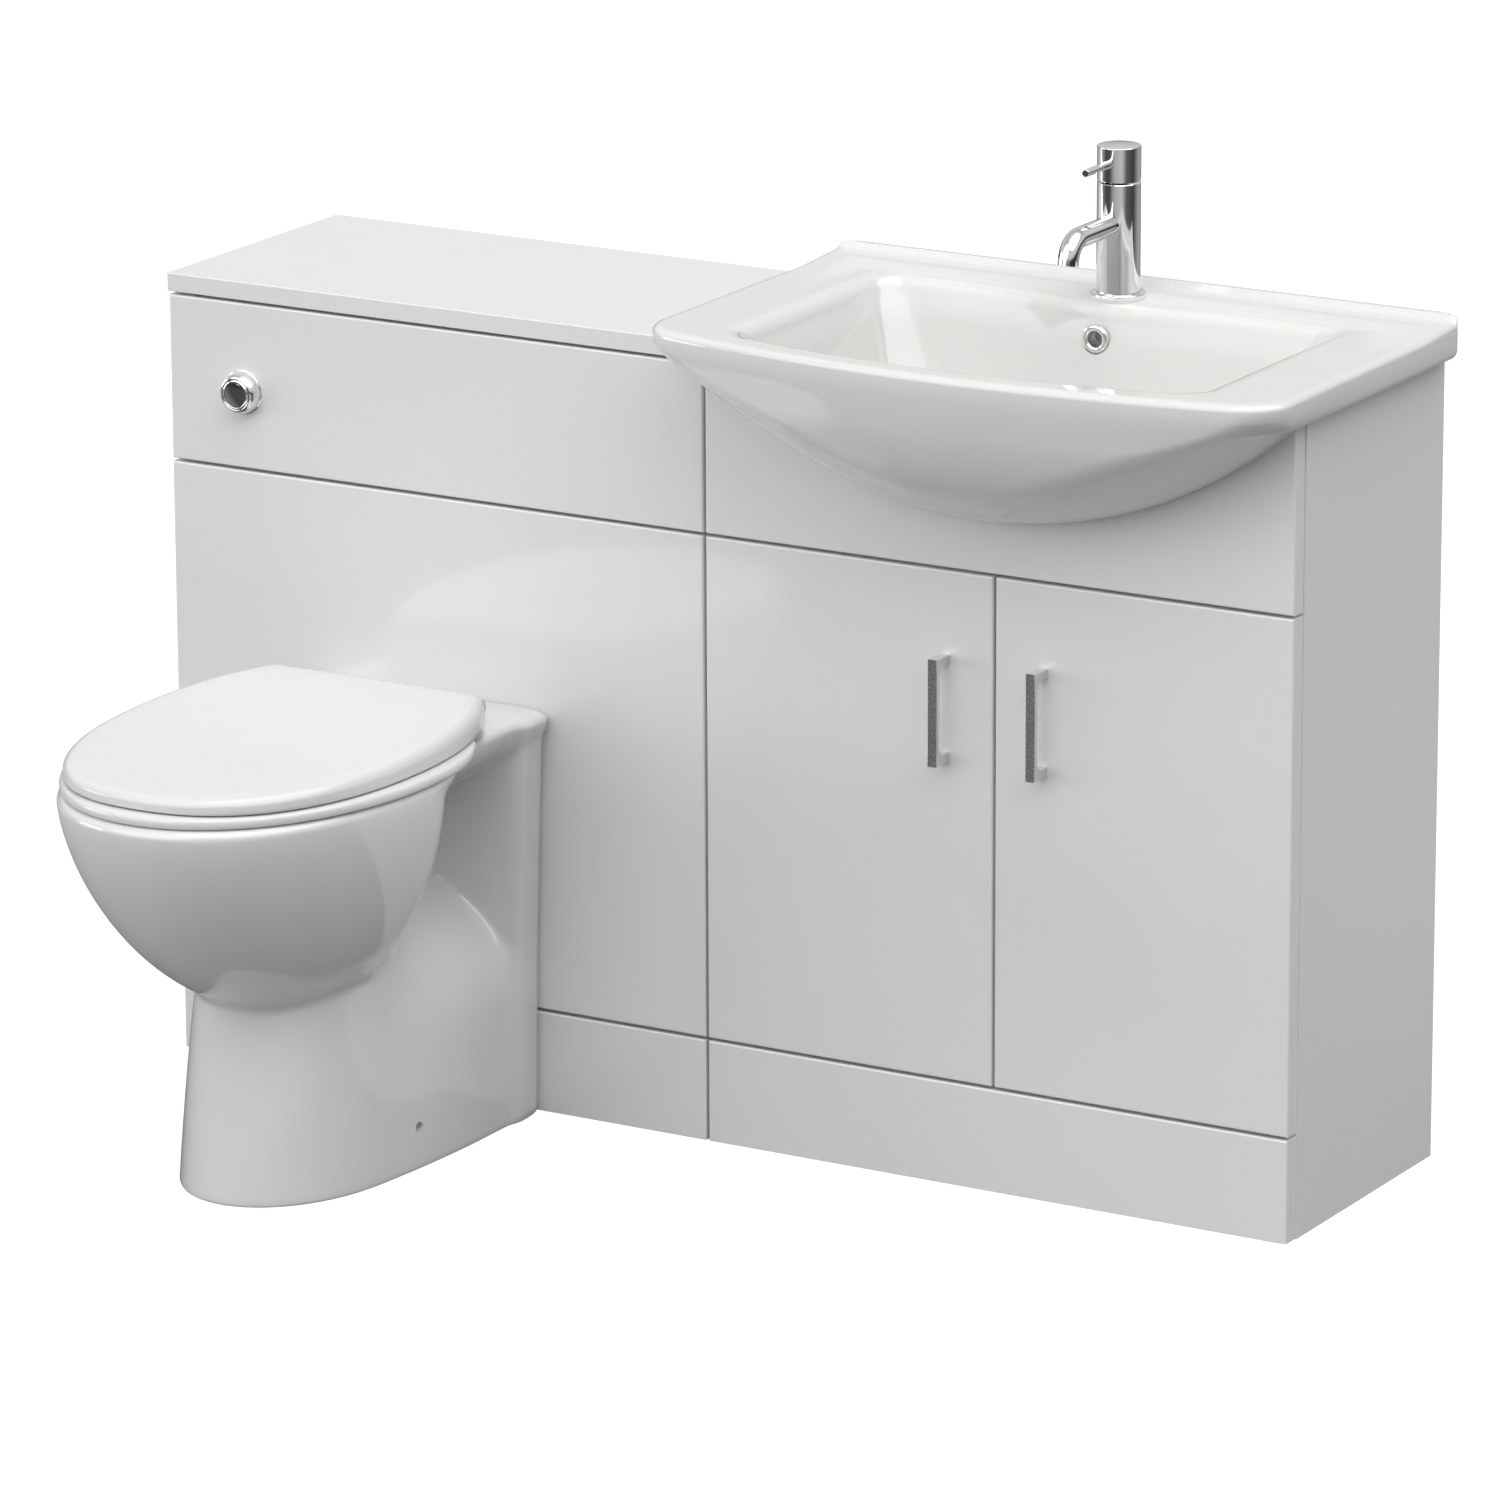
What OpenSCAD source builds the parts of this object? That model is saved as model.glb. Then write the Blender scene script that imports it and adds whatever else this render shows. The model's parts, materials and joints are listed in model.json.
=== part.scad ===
// Toilet and basin combination unit: a back to wall toilet with its cistern
// boxed in, joined to a basin cabinet with two doors, a semi recessed ceramic
// basin and a single lever mixer. Millimetres, floor at Z 0, wall behind (+Y).

/* [Furniture] */
// Width of the toilet unit
wc_w = 600; // [560:5:680]
// Width of the basin cabinet
cab_w = 620; // [600:5:680]
// Depth of both units, front faces to wall
unit_d = 300; // [290:5:360]
// Height of the worktop's upper face and of the carcasses
unit_h = 782; // [770:2:820]
// Thickness of the boards
board_t = 18; // [16:1:19]
// Height of the plinth
plinth_h = 100; // [90:5:115]
// Gap between neighbouring fronts
front_gap = 3; // [2:0.5:4]
// Radius of the fronts' outer edges
edge_r = 2; // [1:0.5:3]
// Height of the fascia below the basin's belly
fascia_h = 57; // [50:1:64]
// Height of the rails that tie the side panels
rail_h = 70; // [50:5:80]
// Gap between the doors and the carcass edges
door_clear = 0.4; // [0.3:0.1:0.8]

/* [Doors] */
// Length of a handle
handle_h = 103; // [90:1:128]
// Width of a handle's bar
handle_w = 9.5; // [8:0.5:12]
// How far a handle stands off its door
handle_out = 25; // [22:1:36]
// Thickness of a handle's bar
handle_bar = 6; // [5:0.5:9]
// Thickness of a handle's posts
handle_post = 9; // [8:0.5:11]
// Handle centre line from the door's free edge
handle_in = 50; // [40:1:60]
// Top of a handle below the door's top edge
handle_drop = 79.5; // [50:0.5:120]
// Diameter of the handle screws
screw_d = 4; // [3.5:0.5:4.5]
// Diameter of a hinge cup
cup_d = 35; // [34:0.5:36]
// Depth of a hinge cup
cup_h = 11.5; // [10:0.5:12]
// Centre of a hinge cup from the door's outer edge
cup_in = 22.5; // [21:0.5:24]
// Hinge centre from the door's top or bottom edge
hinge_end = 80; // [70:5:120]

/* [Basin] */
// Width of the basin
basin_w = 660; // [640:5:690]
// How far the basin's front stands out from the fronts
basin_out = 128; // [115:1:140]
// Bow of the basin's front edge between its corners
basin_bow = 42; // [30:1:50]
// Thickness of the basin's side edge
basin_edge = 30; // [26:1:34]
// Depth of the belly below the rim
basin_belly = 158; // [150:1:165]
// Width of the bowl's opening
bowl_w = 484; // [460:2:500]
// Depth of the bowl below the rim
bowl_h = 124; // [110:1:128]
// Width of the deck behind the bowl
basin_deck = 76; // [70:1:80]
// Height of the lip along the wall
basin_lip = 10; // [6:1:12]
// Diameter of the tap hole
tap_hole = 35; // [34:0.5:36]
// Tap centre from the wall
tap_back = 61; // [58:1:62]
// Diameter of the overflow hole
overflow_d = 15; // [14:0.5:16]
// Diameter of the waste hole
waste_hole = 45; // [44:0.5:46]

/* [Tap] */
// Diameter of the tap's body
tap_d = 41.5; // [38:0.5:44]
// Height of the tap's body
tap_h = 107; // [95:1:120]
// Height of the tap's head
head_h = 33; // [31:1:38]
// Gap between the body and the head
head_gap = 1.5; // [1.2:0.1:2]
// Diameter of the flange under the tap
flange_d = 52; // [50:1:56]
// Diameter of the spout
spout_d = 20; // [18:0.5:22]
// Height of the spout's centre line above the deck
spout_h = 68; // [60:1:75]
// Straight length of the spout from the tap's axis
spout_l = 78; // [60:1:90]
// Radius of the spout's bend
spout_r = 21; // [18:1:26]
// Diameter of the lever pin
pin_d = 7.5; // [6:0.5:9]
// Length of the lever pin beyond the head
pin_l = 46; // [40:1:60]
// Height of the lever pin above the head's lower edge
pin_h = 18; // [16:1:22]

/* [Waste] */
// Outer diameter of the waste tail
tail_d = 41; // [40:0.5:42]
// Length of the waste tail below the basin
tail_l = 62; // [55:1:70]
// Outer diameter of the trap's bottle
trap_d = 66; // [60:1:74]
// Height of the trap's bottle
trap_h = 105; // [90:1:120]
// Outer diameter of the waste pipe
pipe_d = 32; // [31:0.5:34]

/* [Pan] */
// Height of the rim above the floor
rim_h = 403; // [395:1:412]
// Half width of the bowl
pan_hw = 170; // [165:1:176]
// Widest line of the bowl, forward of the fronts
pan_mid = 280; // [270:1:285]
// Length of the bowl from its widest line to its front
pan_front = 250; // [240:1:260]
// Depth of the bowl's outside below the rim
pan_deep = 238; // [225:1:250]
// Half width of the foot at the floor
foot_hw = 112; // [106:1:120]
// Front of the foot, forward of the fronts
foot_out = 391; // [375:1:405]
// Half width of the deck at the wall side
deck_hw = 134; // [128:1:140]
// Thickness of the ceramic in the foot
clay_t = 14; // [11:0.5:16]
// Height of the outlet's centre above the floor
outlet_h = 180; // [175:1:190]
// Outer diameter of the outlet spigot
outlet_d = 102; // [98:1:104]
// Flush inlet's centre below the rim
inlet_down = 68; // [63:1:78]
// Bore of the flush inlet
inlet_d = 56; // [55:0.5:58]
// Diameter of the side fixing holes
fix_d = 10; // [8:0.5:12]
// Height of the side fixing holes
fix_h = 42; // [35:1:50]
// Side fixing holes, forward of the fronts
fix_y = 215; // [190:1:230]

/* [Seat] */
// Half width of the seat
seat_hw = 169; // [164:1:173]
// Length of the seat from the widest line to the front
seat_front = 239; // [232:1:246]
// Gap between the rim and the seat
seat_gap = 3; // [2:0.5:4]
// Thickness of the seat
seat_t = 8; // [7:0.5:9]
// Width of the seat's ring
seat_ring = 60; // [52:1:66]
// Gap between the seat and the lid
lid_gap = 1.3; // [1:0.1:2]
// Thickness of the lid
lid_t = 17; // [15:0.5:19]
// Thickness of the lid's skin
lid_skin = 5; // [4:0.5:5.5]
// Hinge axis, forward of the fronts
hinge_y = 76; // [74:1:84]
// Hinge axis above the rim
hinge_z = 16; // [15:0.5:17]
// Diameter of a hinge pin
hinge_d = 8; // [7:0.5:9]
// Hinge centre from the pan's centre line
hinge_x = 75; // [70:1:80]

/* [Cistern] */
// Width of the cistern
tank_w = 380; // [340:5:420]
// Depth of the cistern
tank_d = 140; // [120:5:150]
// Height of the cistern
tank_h = 300; // [260:5:310]
// Wall of the cistern
tank_t = 4; // [3:0.5:5]
// Outer diameter of the flush pipe
flush_d = 50; // [48:1:52]
// Diameter of the valve's inlet thread
thread_d = 21; // [20:0.5:22]
// Outer diameter of the soil pipe
soil_d = 110; // [108:1:112]

/* [Flush button] */
// Diameter of the button's bezel
bezel_d = 43; // [40:1:54]
// How far the bezel stands out
bezel_out = 14; // [10:0.5:18]
// Diameter of the push button
button_d = 30; // [27:0.5:32]
// Button centre from the unit's left edge
button_x = 85; // [60:1:110]
// Button centre below the middle of its fascia
button_low = 6; // [0:0.5:12]
// Travel of the push button
button_s = 5; // [3:0.5:6]

/* [Fits] */
// Radial running clearance of pins and stems
run_c = 0.05; // [0.03:0.01:0.08]
// Gap between pieces that lie close together
near_c = 0.3; // [0.2:0.05:0.4]
// Radial clearance of pipes and threads in their holes
hole_c = 1; // [0.5:0.25:1.5]

/* [Hidden] */
$fn = 48;

wc_x = wc_w / 2;                       // centre line of the toilet
cab_x = wc_w + cab_w / 2;              // centre line of the basin
end_x = max(wc_w + cab_w, cab_x + basin_w / 2);
pan_y = -(pan_mid + pan_front);        // foremost point of the pan
inlet_h = rim_h - inlet_down;          // flush inlet above the floor
// height of the gap between the fascias and the fronts below them
split_h = unit_h - basin_belly + basin_edge - fascia_h;
front_b = split_h - front_gap / 2;     // top of the lower fronts
front_h = front_b - plinth_h - front_gap;
carc_y = board_t + door_clear;         // front edges of the carcasses
carc_d = unit_d - carc_y;
rim_z = unit_h + basin_edge;           // rim of the basin
eps = 0.01;

white = [0.93, 0.93, 0.93];
clay = [0.95, 0.95, 0.93];
plastic = [0.97, 0.97, 0.97];
chrome = [0.78, 0.79, 0.8];
steel = [0.62, 0.62, 0.63];

// The origin lies on the floor, at the middle of the whole unit's box.
module place() translate([-end_x / 2, -(unit_d + pan_y) / 2, 0]) children();

// ---------------------------------------------------------------- helpers
function flat(a) = [for (r = a) for (p = r) p];
function clamp01(v) = min(1, max(0, v));
function smooth(v) = let (c = clamp01(v)) c * c * (3 - 2 * c);
function mix(a, b, t) = a + (b - a) * t;

// One closed surface through rings of equal count, with a pole at each end.
// Rings run anticlockwise seen from above and climb from the first pole.
module loft(rings, pole_a, pole_b) {
    n = len(rings[0]);
    m = len(rings);
    a = n * m;
    polyhedron(
        points = concat(flat(rings), [pole_a, pole_b]),
        faces = concat(
            [for (j = [0:n - 1]) [a, j, (j + 1) % n]],
            [for (i = [0:m - 2]) for (j = [0:n - 1]) each [
                [i * n + j, (i + 1) * n + j, (i + 1) * n + (j + 1) % n],
                [i * n + j, (i + 1) * n + (j + 1) % n, i * n + (j + 1) % n]]],
            [for (j = [0:n - 1])
                [a + 1, (m - 1) * n + (j + 1) % n, (m - 1) * n + j]]),
        convexity = 8);
}

// The same round a hole: the last ring closes on the first.
module loop_loft(rings) {
    n = len(rings[0]);
    m = len(rings);
    polyhedron(
        points = flat(rings),
        faces = [for (i = [0:m - 1]) for (j = [0:n - 1]) each [
            [i * n + j, ((i + 1) % m) * n + j, ((i + 1) % m) * n + (j + 1) % n],
            [i * n + j, ((i + 1) % m) * n + (j + 1) % n, i * n + (j + 1) % n]]],
        convexity = 8);
}

// Egg ring: half width a, front length bf, back length bb, exponents nf and
// nb, and a taper that draws the back in.
function egg(z, a, ym, bf, bb, nf, nb, taper = 0, n = 48) =
    [for (i = [0:n - 1])
        let (t = 360 * i / n, c = cos(t), s = sin(t),
            e = s > 0 ? nb : nf,
            u = sign(s) * pow(abs(s), 2 / e),
            w = sign(c) * pow(abs(c), 2 / e),
            k = s > 0 ? 1 - taper * pow(u, 1.5) : 1)
        [a * w * k, ym + (s > 0 ? bb : bf) * u, z]];

// Rounded oblong ring with a bowed front, bulged forward at the tap. Behind
// the fronts it is no wider than hb, so the belly laps over the fascia, and
// with cut set it ends there.
function tray(z, hw, yf, yb, rx, ry, rb, bow, tap = 0, lip = 0, hb = 999,
        cut = false) =
    let (yc = yf + bow, hr = min(hw, hb), ys = -near_c,
        r0 = min(rb, (yb - max(yc, 0)) * 0.5 - 1, hr - 1),
        ryl = min(ry, hb < 999 ? ys - yc - 0.2 : (yb - yc) * 0.5 - 1),
        arc = [for (i = [0:5]) [cos(18 * i), sin(18 * i)]],
        y1 = hb < 999 ? ys - 0.1 : mix(yc + ryl, yb - r0, 0.4),
        y2 = hb < 999 ? ys : mix(yc + ryl, yb - r0, 0.6),
        y3 = mix(y2, yb - r0, 0.5),
        raw = concat(
            cut ? [for (i = [0:18]) [mix(hr, -hr, (i + 1) / 20), ys]] : concat(
            [for (p = arc) [hr - r0 + r0 * p[0], yb - r0 + r0 * p[1]]],
            [for (i = [1:7]) [mix(hr - r0, r0 - hr, i / 8), yb]],
            [for (p = arc) [r0 - hr - r0 * p[1], yb - r0 + r0 * p[0]]]),
            cut ? [[-hr, ys], [-mix(hr, hw, 0.5), ys], [-hw, y1]] :
            [[-hr, y3], [-hr, y2], [-hw, y1]],
            [for (p = arc) [rx - hw - rx * p[0], yc + ryl - ryl * p[1]]],
            [for (i = [1:9]) [mix(rx - hw, hw - rx, i / 10), yc]],
            [for (p = arc) [hw - rx + rx * p[1], yc + ryl - ryl * p[0]]],
            cut ? [[hw, y1], [mix(hr, hw, 0.5), ys], [hr, ys]] :
            [[hw, y1], [hr, y2], [hr, y3]]))
    [for (p = raw)
        let (w = clamp01((yc + ryl - p[1]) / ryl),
            back = cut ? 0 : clamp01((p[1] - (yb - r0)) / max(r0, 1)),
            y = p[1] - bow * max(0, 1 - pow(p[0] / hw, 2)) * w
                - tap * exp(-pow(p[0] / 75, 2)) * back)
        [p[0], y, z + (lip > 0 ? 0.4 * lip * smooth((y - unit_d + 75) / 30)
            + 0.6 * lip * smooth((y - unit_d + 18) / 6) : 0)]];

// Board with rounded front edges: X along, Z up, front face at Y 0.
module front(w, h) {
    intersection() {
        linear_extrude(height = h) {
            translate([edge_r, 0]) square([w - 2 * edge_r, board_t]);
            translate([0, edge_r]) square([w, board_t - edge_r]);
            for (x = [edge_r, w - edge_r])
                translate([x, edge_r]) circle(edge_r, $fn = 24);
        }
        rotate([90, 0, 90]) linear_extrude(height = w) {
            translate([0, edge_r]) square([board_t, h - 2 * edge_r]);
            translate([edge_r, 0]) square([board_t - edge_r, h]);
            for (z = [edge_r, h - edge_r])
                translate([edge_r, z]) circle(edge_r, $fn = 24);
        }
    }
}

module rod_y(r, y0, y1) translate([0, y0, 0]) rotate([-90, 0, 0])
    cylinder(r = r, h = y1 - y0);
module rod_x(r, x0, x1) translate([x0, 0, 0]) rotate([0, 90, 0])
    cylinder(r = r, h = x1 - x0);
module tube(r1, r0, h) difference() {
    cylinder(r = r1, h = h);
    translate([0, 0, -1]) cylinder(r = r0, h = h + 2);
}

// ---------------------------------------------------------- toilet unit
wc_top = unit_h - board_t;             // underside of the worktop
module wc_side(x) color(white) translate([x, carc_y, 0])
    cube([board_t, carc_d, wc_top]);
module wc_side_left() wc_side(0);
module wc_side_right() wc_side(wc_w - board_t);

module wc_worktop() color(white) translate([0, 0, wc_top]) {
    r = edge_r / 2;
    rotate([90, 0, 90]) linear_extrude(height = wc_w) {
        translate([0, r]) square([unit_d, board_t - 2 * r]);
        translate([r, 0]) square([unit_d - r, board_t]);
        for (z = [r, board_t - r]) translate([r, z]) circle(r, $fn = 24);
    }
}

fascia_z = split_h + front_gap / 2;
button_z = (fascia_z + wc_top - front_gap) / 2 - button_low;
module wc_fascia() color(white) difference() {
    translate([front_gap / 2, 0, fascia_z])
        front(wc_w - front_gap, wc_top - front_gap - fascia_z);
    translate([button_x, 0, button_z]) rod_y(shank_r + hole_c, -1, board_t + 1);
}

module wc_lower_panel() color(white) difference() {
    translate([front_gap / 2, 0, plinth_h + front_gap])
        front(wc_w - front_gap, front_h);
    translate([wc_x, 0, outlet_h]) rod_y(outlet_d / 2 + 10, -1, board_t + 1);
    translate([wc_x, 0, inlet_h]) rod_y(flush_d / 2 + 8, -1, board_t + 1);
}

module plinth(x, w) color(white) translate([x, 0, 0]) {
    intersection() {
        linear_extrude(height = plinth_h) {
            translate([edge_r, 0]) square([w - 2 * edge_r, board_t]);
            translate([0, edge_r]) square([w, board_t - edge_r]);
            for (e = [edge_r, w - edge_r])
                translate([e, edge_r]) circle(edge_r, $fn = 24);
        }
        rotate([90, 0, 90]) linear_extrude(height = w) {
            square([board_t, plinth_h - edge_r]);
            translate([edge_r, 0]) square([board_t - edge_r, plinth_h]);
            translate([edge_r, plinth_h - edge_r]) circle(edge_r, $fn = 24);
        }
    }
}
module wc_plinth() plinth(front_gap / 2, wc_w - front_gap);

module rail(x0, x1, y, z) color(white) translate([x0, y, z])
    cube([x1 - x0, board_t, rail_h]);
tank_top = wc_top - 38;
tank_y = unit_d - board_t - tank_d;    // front of the cistern
module wc_rear_rail() rail(board_t, wc_w - board_t, unit_d - board_t,
    tank_top - rail_h - 20);
module wc_front_rail() rail(board_t, wc_w - board_t, carc_y,
    split_h - rail_h + 20);

// --------------------------------------------------------- basin cabinet
module cab_side(x) color(white) translate([x, carc_y, 0])
    cube([board_t, carc_d, unit_h]);
module cab_side_left() cab_side(wc_w);
module cab_side_right() cab_side(wc_w + cab_w - board_t);
module cab_base() color(white)
    translate([wc_w + board_t, carc_y, plinth_h])
    cube([cab_w - 2 * board_t, carc_d, board_t]);
module cab_back_rail() rail(wc_w + board_t, wc_w + cab_w - board_t,
    unit_d - board_t, unit_h - 20 - rail_h);
module cab_front_rail() rail(wc_w + board_t, wc_w + cab_w - board_t, carc_y,
    split_h - rail_h + 20);
module cab_plinth() plinth(wc_w + front_gap / 2, cab_w - front_gap);

// The cut-out that the belly of the basin passes through.
module cab_fascia() color(white) difference() {
    translate([wc_w + front_gap / 2, 0, fascia_z])
        front(cab_w - front_gap, unit_h - 1 - fascia_z);
    translate([cab_x, 0, 0]) rotate([90, 0, 0]) translate([0, 0, -board_t - 1])
        linear_extrude(height = board_t + 2)
        polygon(concat(
            [for (i = [0:12]) let (z = mix(unit_h + 1, belly_b, i / 12))
                [-back_w(z) - lap_c, z - lap_c]],
            [for (i = [0:12]) let (z = mix(belly_b, unit_h + 1, i / 12))
                [back_w(z) + lap_c, z - lap_c]]));
}

// ----------------------------------------------------------------- doors
door_w = (cab_w - 2 * front_gap) / 2;
door_z = plinth_h + front_gap;
handle_z = front_b - handle_drop - handle_h;
function door_x(s) = s < 0 ? wc_w + front_gap / 2 : cab_x + front_gap / 2;
// side is -1 for the left door and 1 for the right one
function edge_x(s) = cab_x + s * (cab_w - front_gap) / 2;
function grip_x(s) = cab_x + s * (front_gap / 2 + handle_in);
function cup_x(s) = edge_x(s) - s * cup_in;
cup_zs = [door_z + hinge_end, front_b - hinge_end];

module door(s) color(white) difference() {
    translate([door_x(s), 0, door_z]) front(door_w, front_h);
    for (z = cup_zs) translate([cup_x(s), 0, z])
        rod_y(cup_d / 2 + 0.1, board_t - cup_h - 0.3, board_t + 1);
    for (z = grip_zs) translate([grip_x(s), 0, z])
        rod_y(screw_d / 2 + 0.1, -1, board_t + 1);
}
module door_left() door(-1);
module door_right() door(1);

grip_zs = [handle_z + handle_post / 2, handle_z + handle_h - handle_post / 2];
// Flat bar on two posts that run into it through round inner corners.
module handle(s) {
    r = handle_post;
    hole_h = handle_h - 2 * handle_post;
    depth = handle_out - handle_bar;
    color(steel) difference() {
        translate([grip_x(s) - handle_w / 2, 0, handle_z])
            rotate([90, 0, 90]) linear_extrude(height = handle_w)
            difference() {
                translate([-handle_out, 0]) square([handle_out, handle_h]);
                translate([-depth, handle_post]) {
                    translate([r, 0]) square([depth - r + 1, hole_h]);
                    translate([0, r]) square([r + 1, hole_h - 2 * r]);
                    for (z = [r, hole_h - r]) translate([r, z]) circle(r);
                }
            }
        for (z = grip_zs) translate([grip_x(s), 0, z])
            rod_y(screw_d / 2 + 0.1, 2 - depth, 1);
    }
}
module handle_left() handle(-1);
module handle_right() handle(1);
module handle_screws(s) color(steel)
    for (z = grip_zs) translate([grip_x(s), 0, z]) {
        rod_y(screw_d / 2, 6 - handle_out + handle_bar, board_t + 1);
        difference() {
            rod_y(screw_d, board_t, board_t + 2.5);
            translate([-screw_d, board_t + 1.7, -0.5])
                cube([2 * screw_d, 1, 1]);
        }
    }
module handle_screws_left() handle_screws(-1);
module handle_screws_right() handle_screws(1);

module hinge_cups(s) color(steel) for (z = cup_zs)
    translate([cup_x(s), 0, z]) difference() {
        union() {
            rod_y(cup_d / 2, board_t - cup_h, board_t);
            translate([-6, board_t, -26]) cube([12, 0.3, 52]);
        }
        translate([-9, board_t - cup_h + 1, -9]) cube([18, cup_h + 1, 18]);
    }
module hinge_cups_left() hinge_cups(-1);
module hinge_cups_right() hinge_cups(1);

// Plate on the side panel and the arm that reaches the cup.
module hinge_arms(s) {
    wall = cab_x + s * (cab_w / 2 - board_t);
    arm = abs(cup_x(s) - wall) + 7;
    color(steel) for (z = cup_zs) translate([wall, 0, z])
        mirror([s > 0 ? 1 : 0, 0, 0]) difference() {
            union() {
                translate([0, carc_y + 14, -24]) cube([3, 34, 48]);
                translate([0, carc_y + 14, -8]) cube([8, 50, 16]);
                translate([0, carc_y + 2, -8]) cube([arm, 13, 16]);
            }
            for (e = [-16, 16]) translate([0, carc_y + 31, e])
                rod_x(2.5, -1, 4);
            translate([8, carc_y + 4, -6]) cube([arm - 10, 12, 12]);
        }
}
module hinge_arms_left() hinge_arms(-1);
module hinge_arms_right() hinge_arms(1);

// ----------------------------------------------------------------- basin
belly_h = basin_belly - basin_edge;    // belly below the side edge
bowl_side = bowl_w / 2 + 12;           // outside of the bowl in the cabinet
opening_y = unit_d - basin_deck;
belly_lap = 12;                        // lap of the belly over the fascia
belly_b = unit_h - belly_h + 10;       // lowest point behind the fronts
lap_c = 2;                             // gap round the belly in the cut-out
// Half width of the belly at a height, before and behind the fascia's face
function belly_t(z) = min(1, (z - unit_h + belly_h) / belly_h);
function belly_w(z) = basin_w / 2 * 0.97 * pow(belly_t(z), 1 / 2.2);
function back_w(z) = min(bowl_side, belly_w(z) - belly_lap - lap_c);
function belly_ring(z, cut = false) =
    let (t = belly_t(z), hw = belly_w(z),
        yf = -basin_out * sqrt(1 - pow((rim_z - z) / (basin_belly + 2), 2)))
    tray(z, hw, yf, mix(150, opening_y + 16, sqrt(t)),
        mix(hw - 1, 55, t), mix(-yf, 48, t), mix(hw / 2, 30, t),
        basin_bow * t, 0, 0, back_w(z), cut);
function slab_ring(z, o, lip = 0) = tray(z, basin_w / 2 - o,
    -basin_out + o, unit_d - o, 40, 38, 20 - o / 2, basin_bow, 0, lip);
// Inside of the bowl: d is the depth below the rim as a share of bowl_h
function bowl_ring(d, o) = tray(rim_z - bowl_h * d,
    bowl_w / 2 - o, -basin_out + 34 + o * 0.95, opening_y - o * 0.95,
    34 + 30 * d, 30 + 20 * d, 26 + 30 * d,
    basin_bow * 0.72 * (1 - 0.7 * d), 20 * (1 - d));
tap_y = unit_d - tap_back;
tap_z = rim_z + 4;                     // seat of the tap
waste_y = 75;                          // waste, behind the fronts
waste_z = rim_z - bowl_h;              // floor of the bowl
overflow_z = rim_z - 31;
overflow_y = opening_y - 32;

module basin() {
    color(clay) difference() {
        union() {
            translate([cab_x, 0, 0]) loft(concat(
                    [for (z = [unit_h - belly_h + 2.6, belly_b - 4, belly_b])
                        belly_ring(z, true)],
                    [belly_ring(belly_b + 0.02)],
                    [for (k = [0.2, 0.36, 0.54, 0.72, 0.88, 1])
                        belly_ring(unit_h - belly_h + belly_h * k)],
                    [slab_ring(unit_h, 4), slab_ring(unit_h + 3, 0.8),
                     slab_ring(unit_h + 6, 0), slab_ring(rim_z - 7, 0),
                     slab_ring(rim_z - 3, 1, basin_lip),
                     slab_ring(rim_z - 0.7, 3.5, basin_lip),
                     slab_ring(rim_z, 7, basin_lip),
                     slab_ring(rim_z, 12, basin_lip),
                     slab_ring(rim_z, 19, basin_lip)],
                    [bowl_ring(0.003, -8), bowl_ring(0.02, -2),
                     bowl_ring(0.06, 2), bowl_ring(0.14, 6),
                     bowl_ring(0.3, 17), bowl_ring(0.55, 34),
                     bowl_ring(0.78, 54), bowl_ring(0.92, 80),
                     bowl_ring(0.985, 118)]),
                    [0, -14, unit_h - belly_h],
                    [0, waste_y, waste_z]);
            // seat of the tap and boss of the waste
            translate([cab_x, tap_y, unit_h + 4])
                cylinder(r = flange_d / 2 + 2, h = tap_z - unit_h - 4);
            translate([cab_x, waste_y, waste_z - 26])
                cylinder(r = waste_hole / 2 + 14, h = 24);
        }
        // tap hole with the pocket for its nut
        translate([cab_x, tap_y, unit_h - 50])
            cylinder(d = tap_hole, h = 120);
        translate([cab_x, tap_y, unit_h - 60])
            cylinder(r = 27, h = 60 + basin_edge - 16);
        // waste hole and its dished seat
        translate([cab_x, waste_y, waste_z - 60])
            cylinder(d = waste_hole, h = 90);
        translate([cab_x, waste_y, waste_z - 2])
            cylinder(r = 33, h = 30);
        // overflow
        translate([cab_x, overflow_y, overflow_z])
            rod_y(overflow_d / 2 + 1.5, -20, 22);
        translate([cab_x, overflow_y, overflow_z])
            rod_y(14 + 0.2, -20, 4);
    }
}

module overflow_ring() color(chrome)
    translate([cab_x, overflow_y, overflow_z]) rotate([-90, 0, 0])
    rotate_extrude() translate([overflow_d / 2, 0]) {
        translate([0, 1.5]) square([6.3, 2.3]);
        translate([1.5, 0.8]) circle(1.5, $fn = 24);
        translate([-0, 1.5]) square([1.3, 14]);
        translate([1.5, -0.7]) square([4.8, 2.4]);
    }

module waste_body() color(chrome) translate([cab_x, waste_y, waste_z - 2])
    difference() {
        union() {
            rotate_extrude() polygon([[15.5, 0], [32.5, 0], [32.5, 1.6],
                [30, 2.6], [24, 1.6], [15.5, 1.6]]);
            translate([0, 0, -24 - tail_l]) tube(tail_d / 2, 17, 24 + tail_l);
            translate([0, 0, -14]) tube(6, 4 + run_c, 10);
            for (a = [0:90:270]) rotate([0, 0, a])
                translate([5, -1.2, -12]) cube([13, 2.4, 6]);
        }
        // overflow slots through the tail
        for (a = [0, 180]) rotate([0, 0, a + 90]) translate([0, 0, -20])
            rod_x(4, 10, 30);
    }
module waste_nut() color(steel)
    translate([cab_x, waste_y, waste_z - 26 - 9]) difference() {
        cylinder(d = 62, h = 9 - near_c, $fn = 6);
        translate([0, 0, -1]) cylinder(r = tail_d / 2 + 0.1, h = 12);
    }
module waste_plug() color(chrome)
    translate([cab_x, waste_y, waste_z + 4]) {
        rotate_extrude() polygon([[0, 0], [29, 0], [31, 1], [31, 2],
            [26, 4.4], [18, 6], [9, 7], [0, 7.3]]);
        translate([0, 0, -18]) cylinder(r = 4, h = 19);
    }

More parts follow.
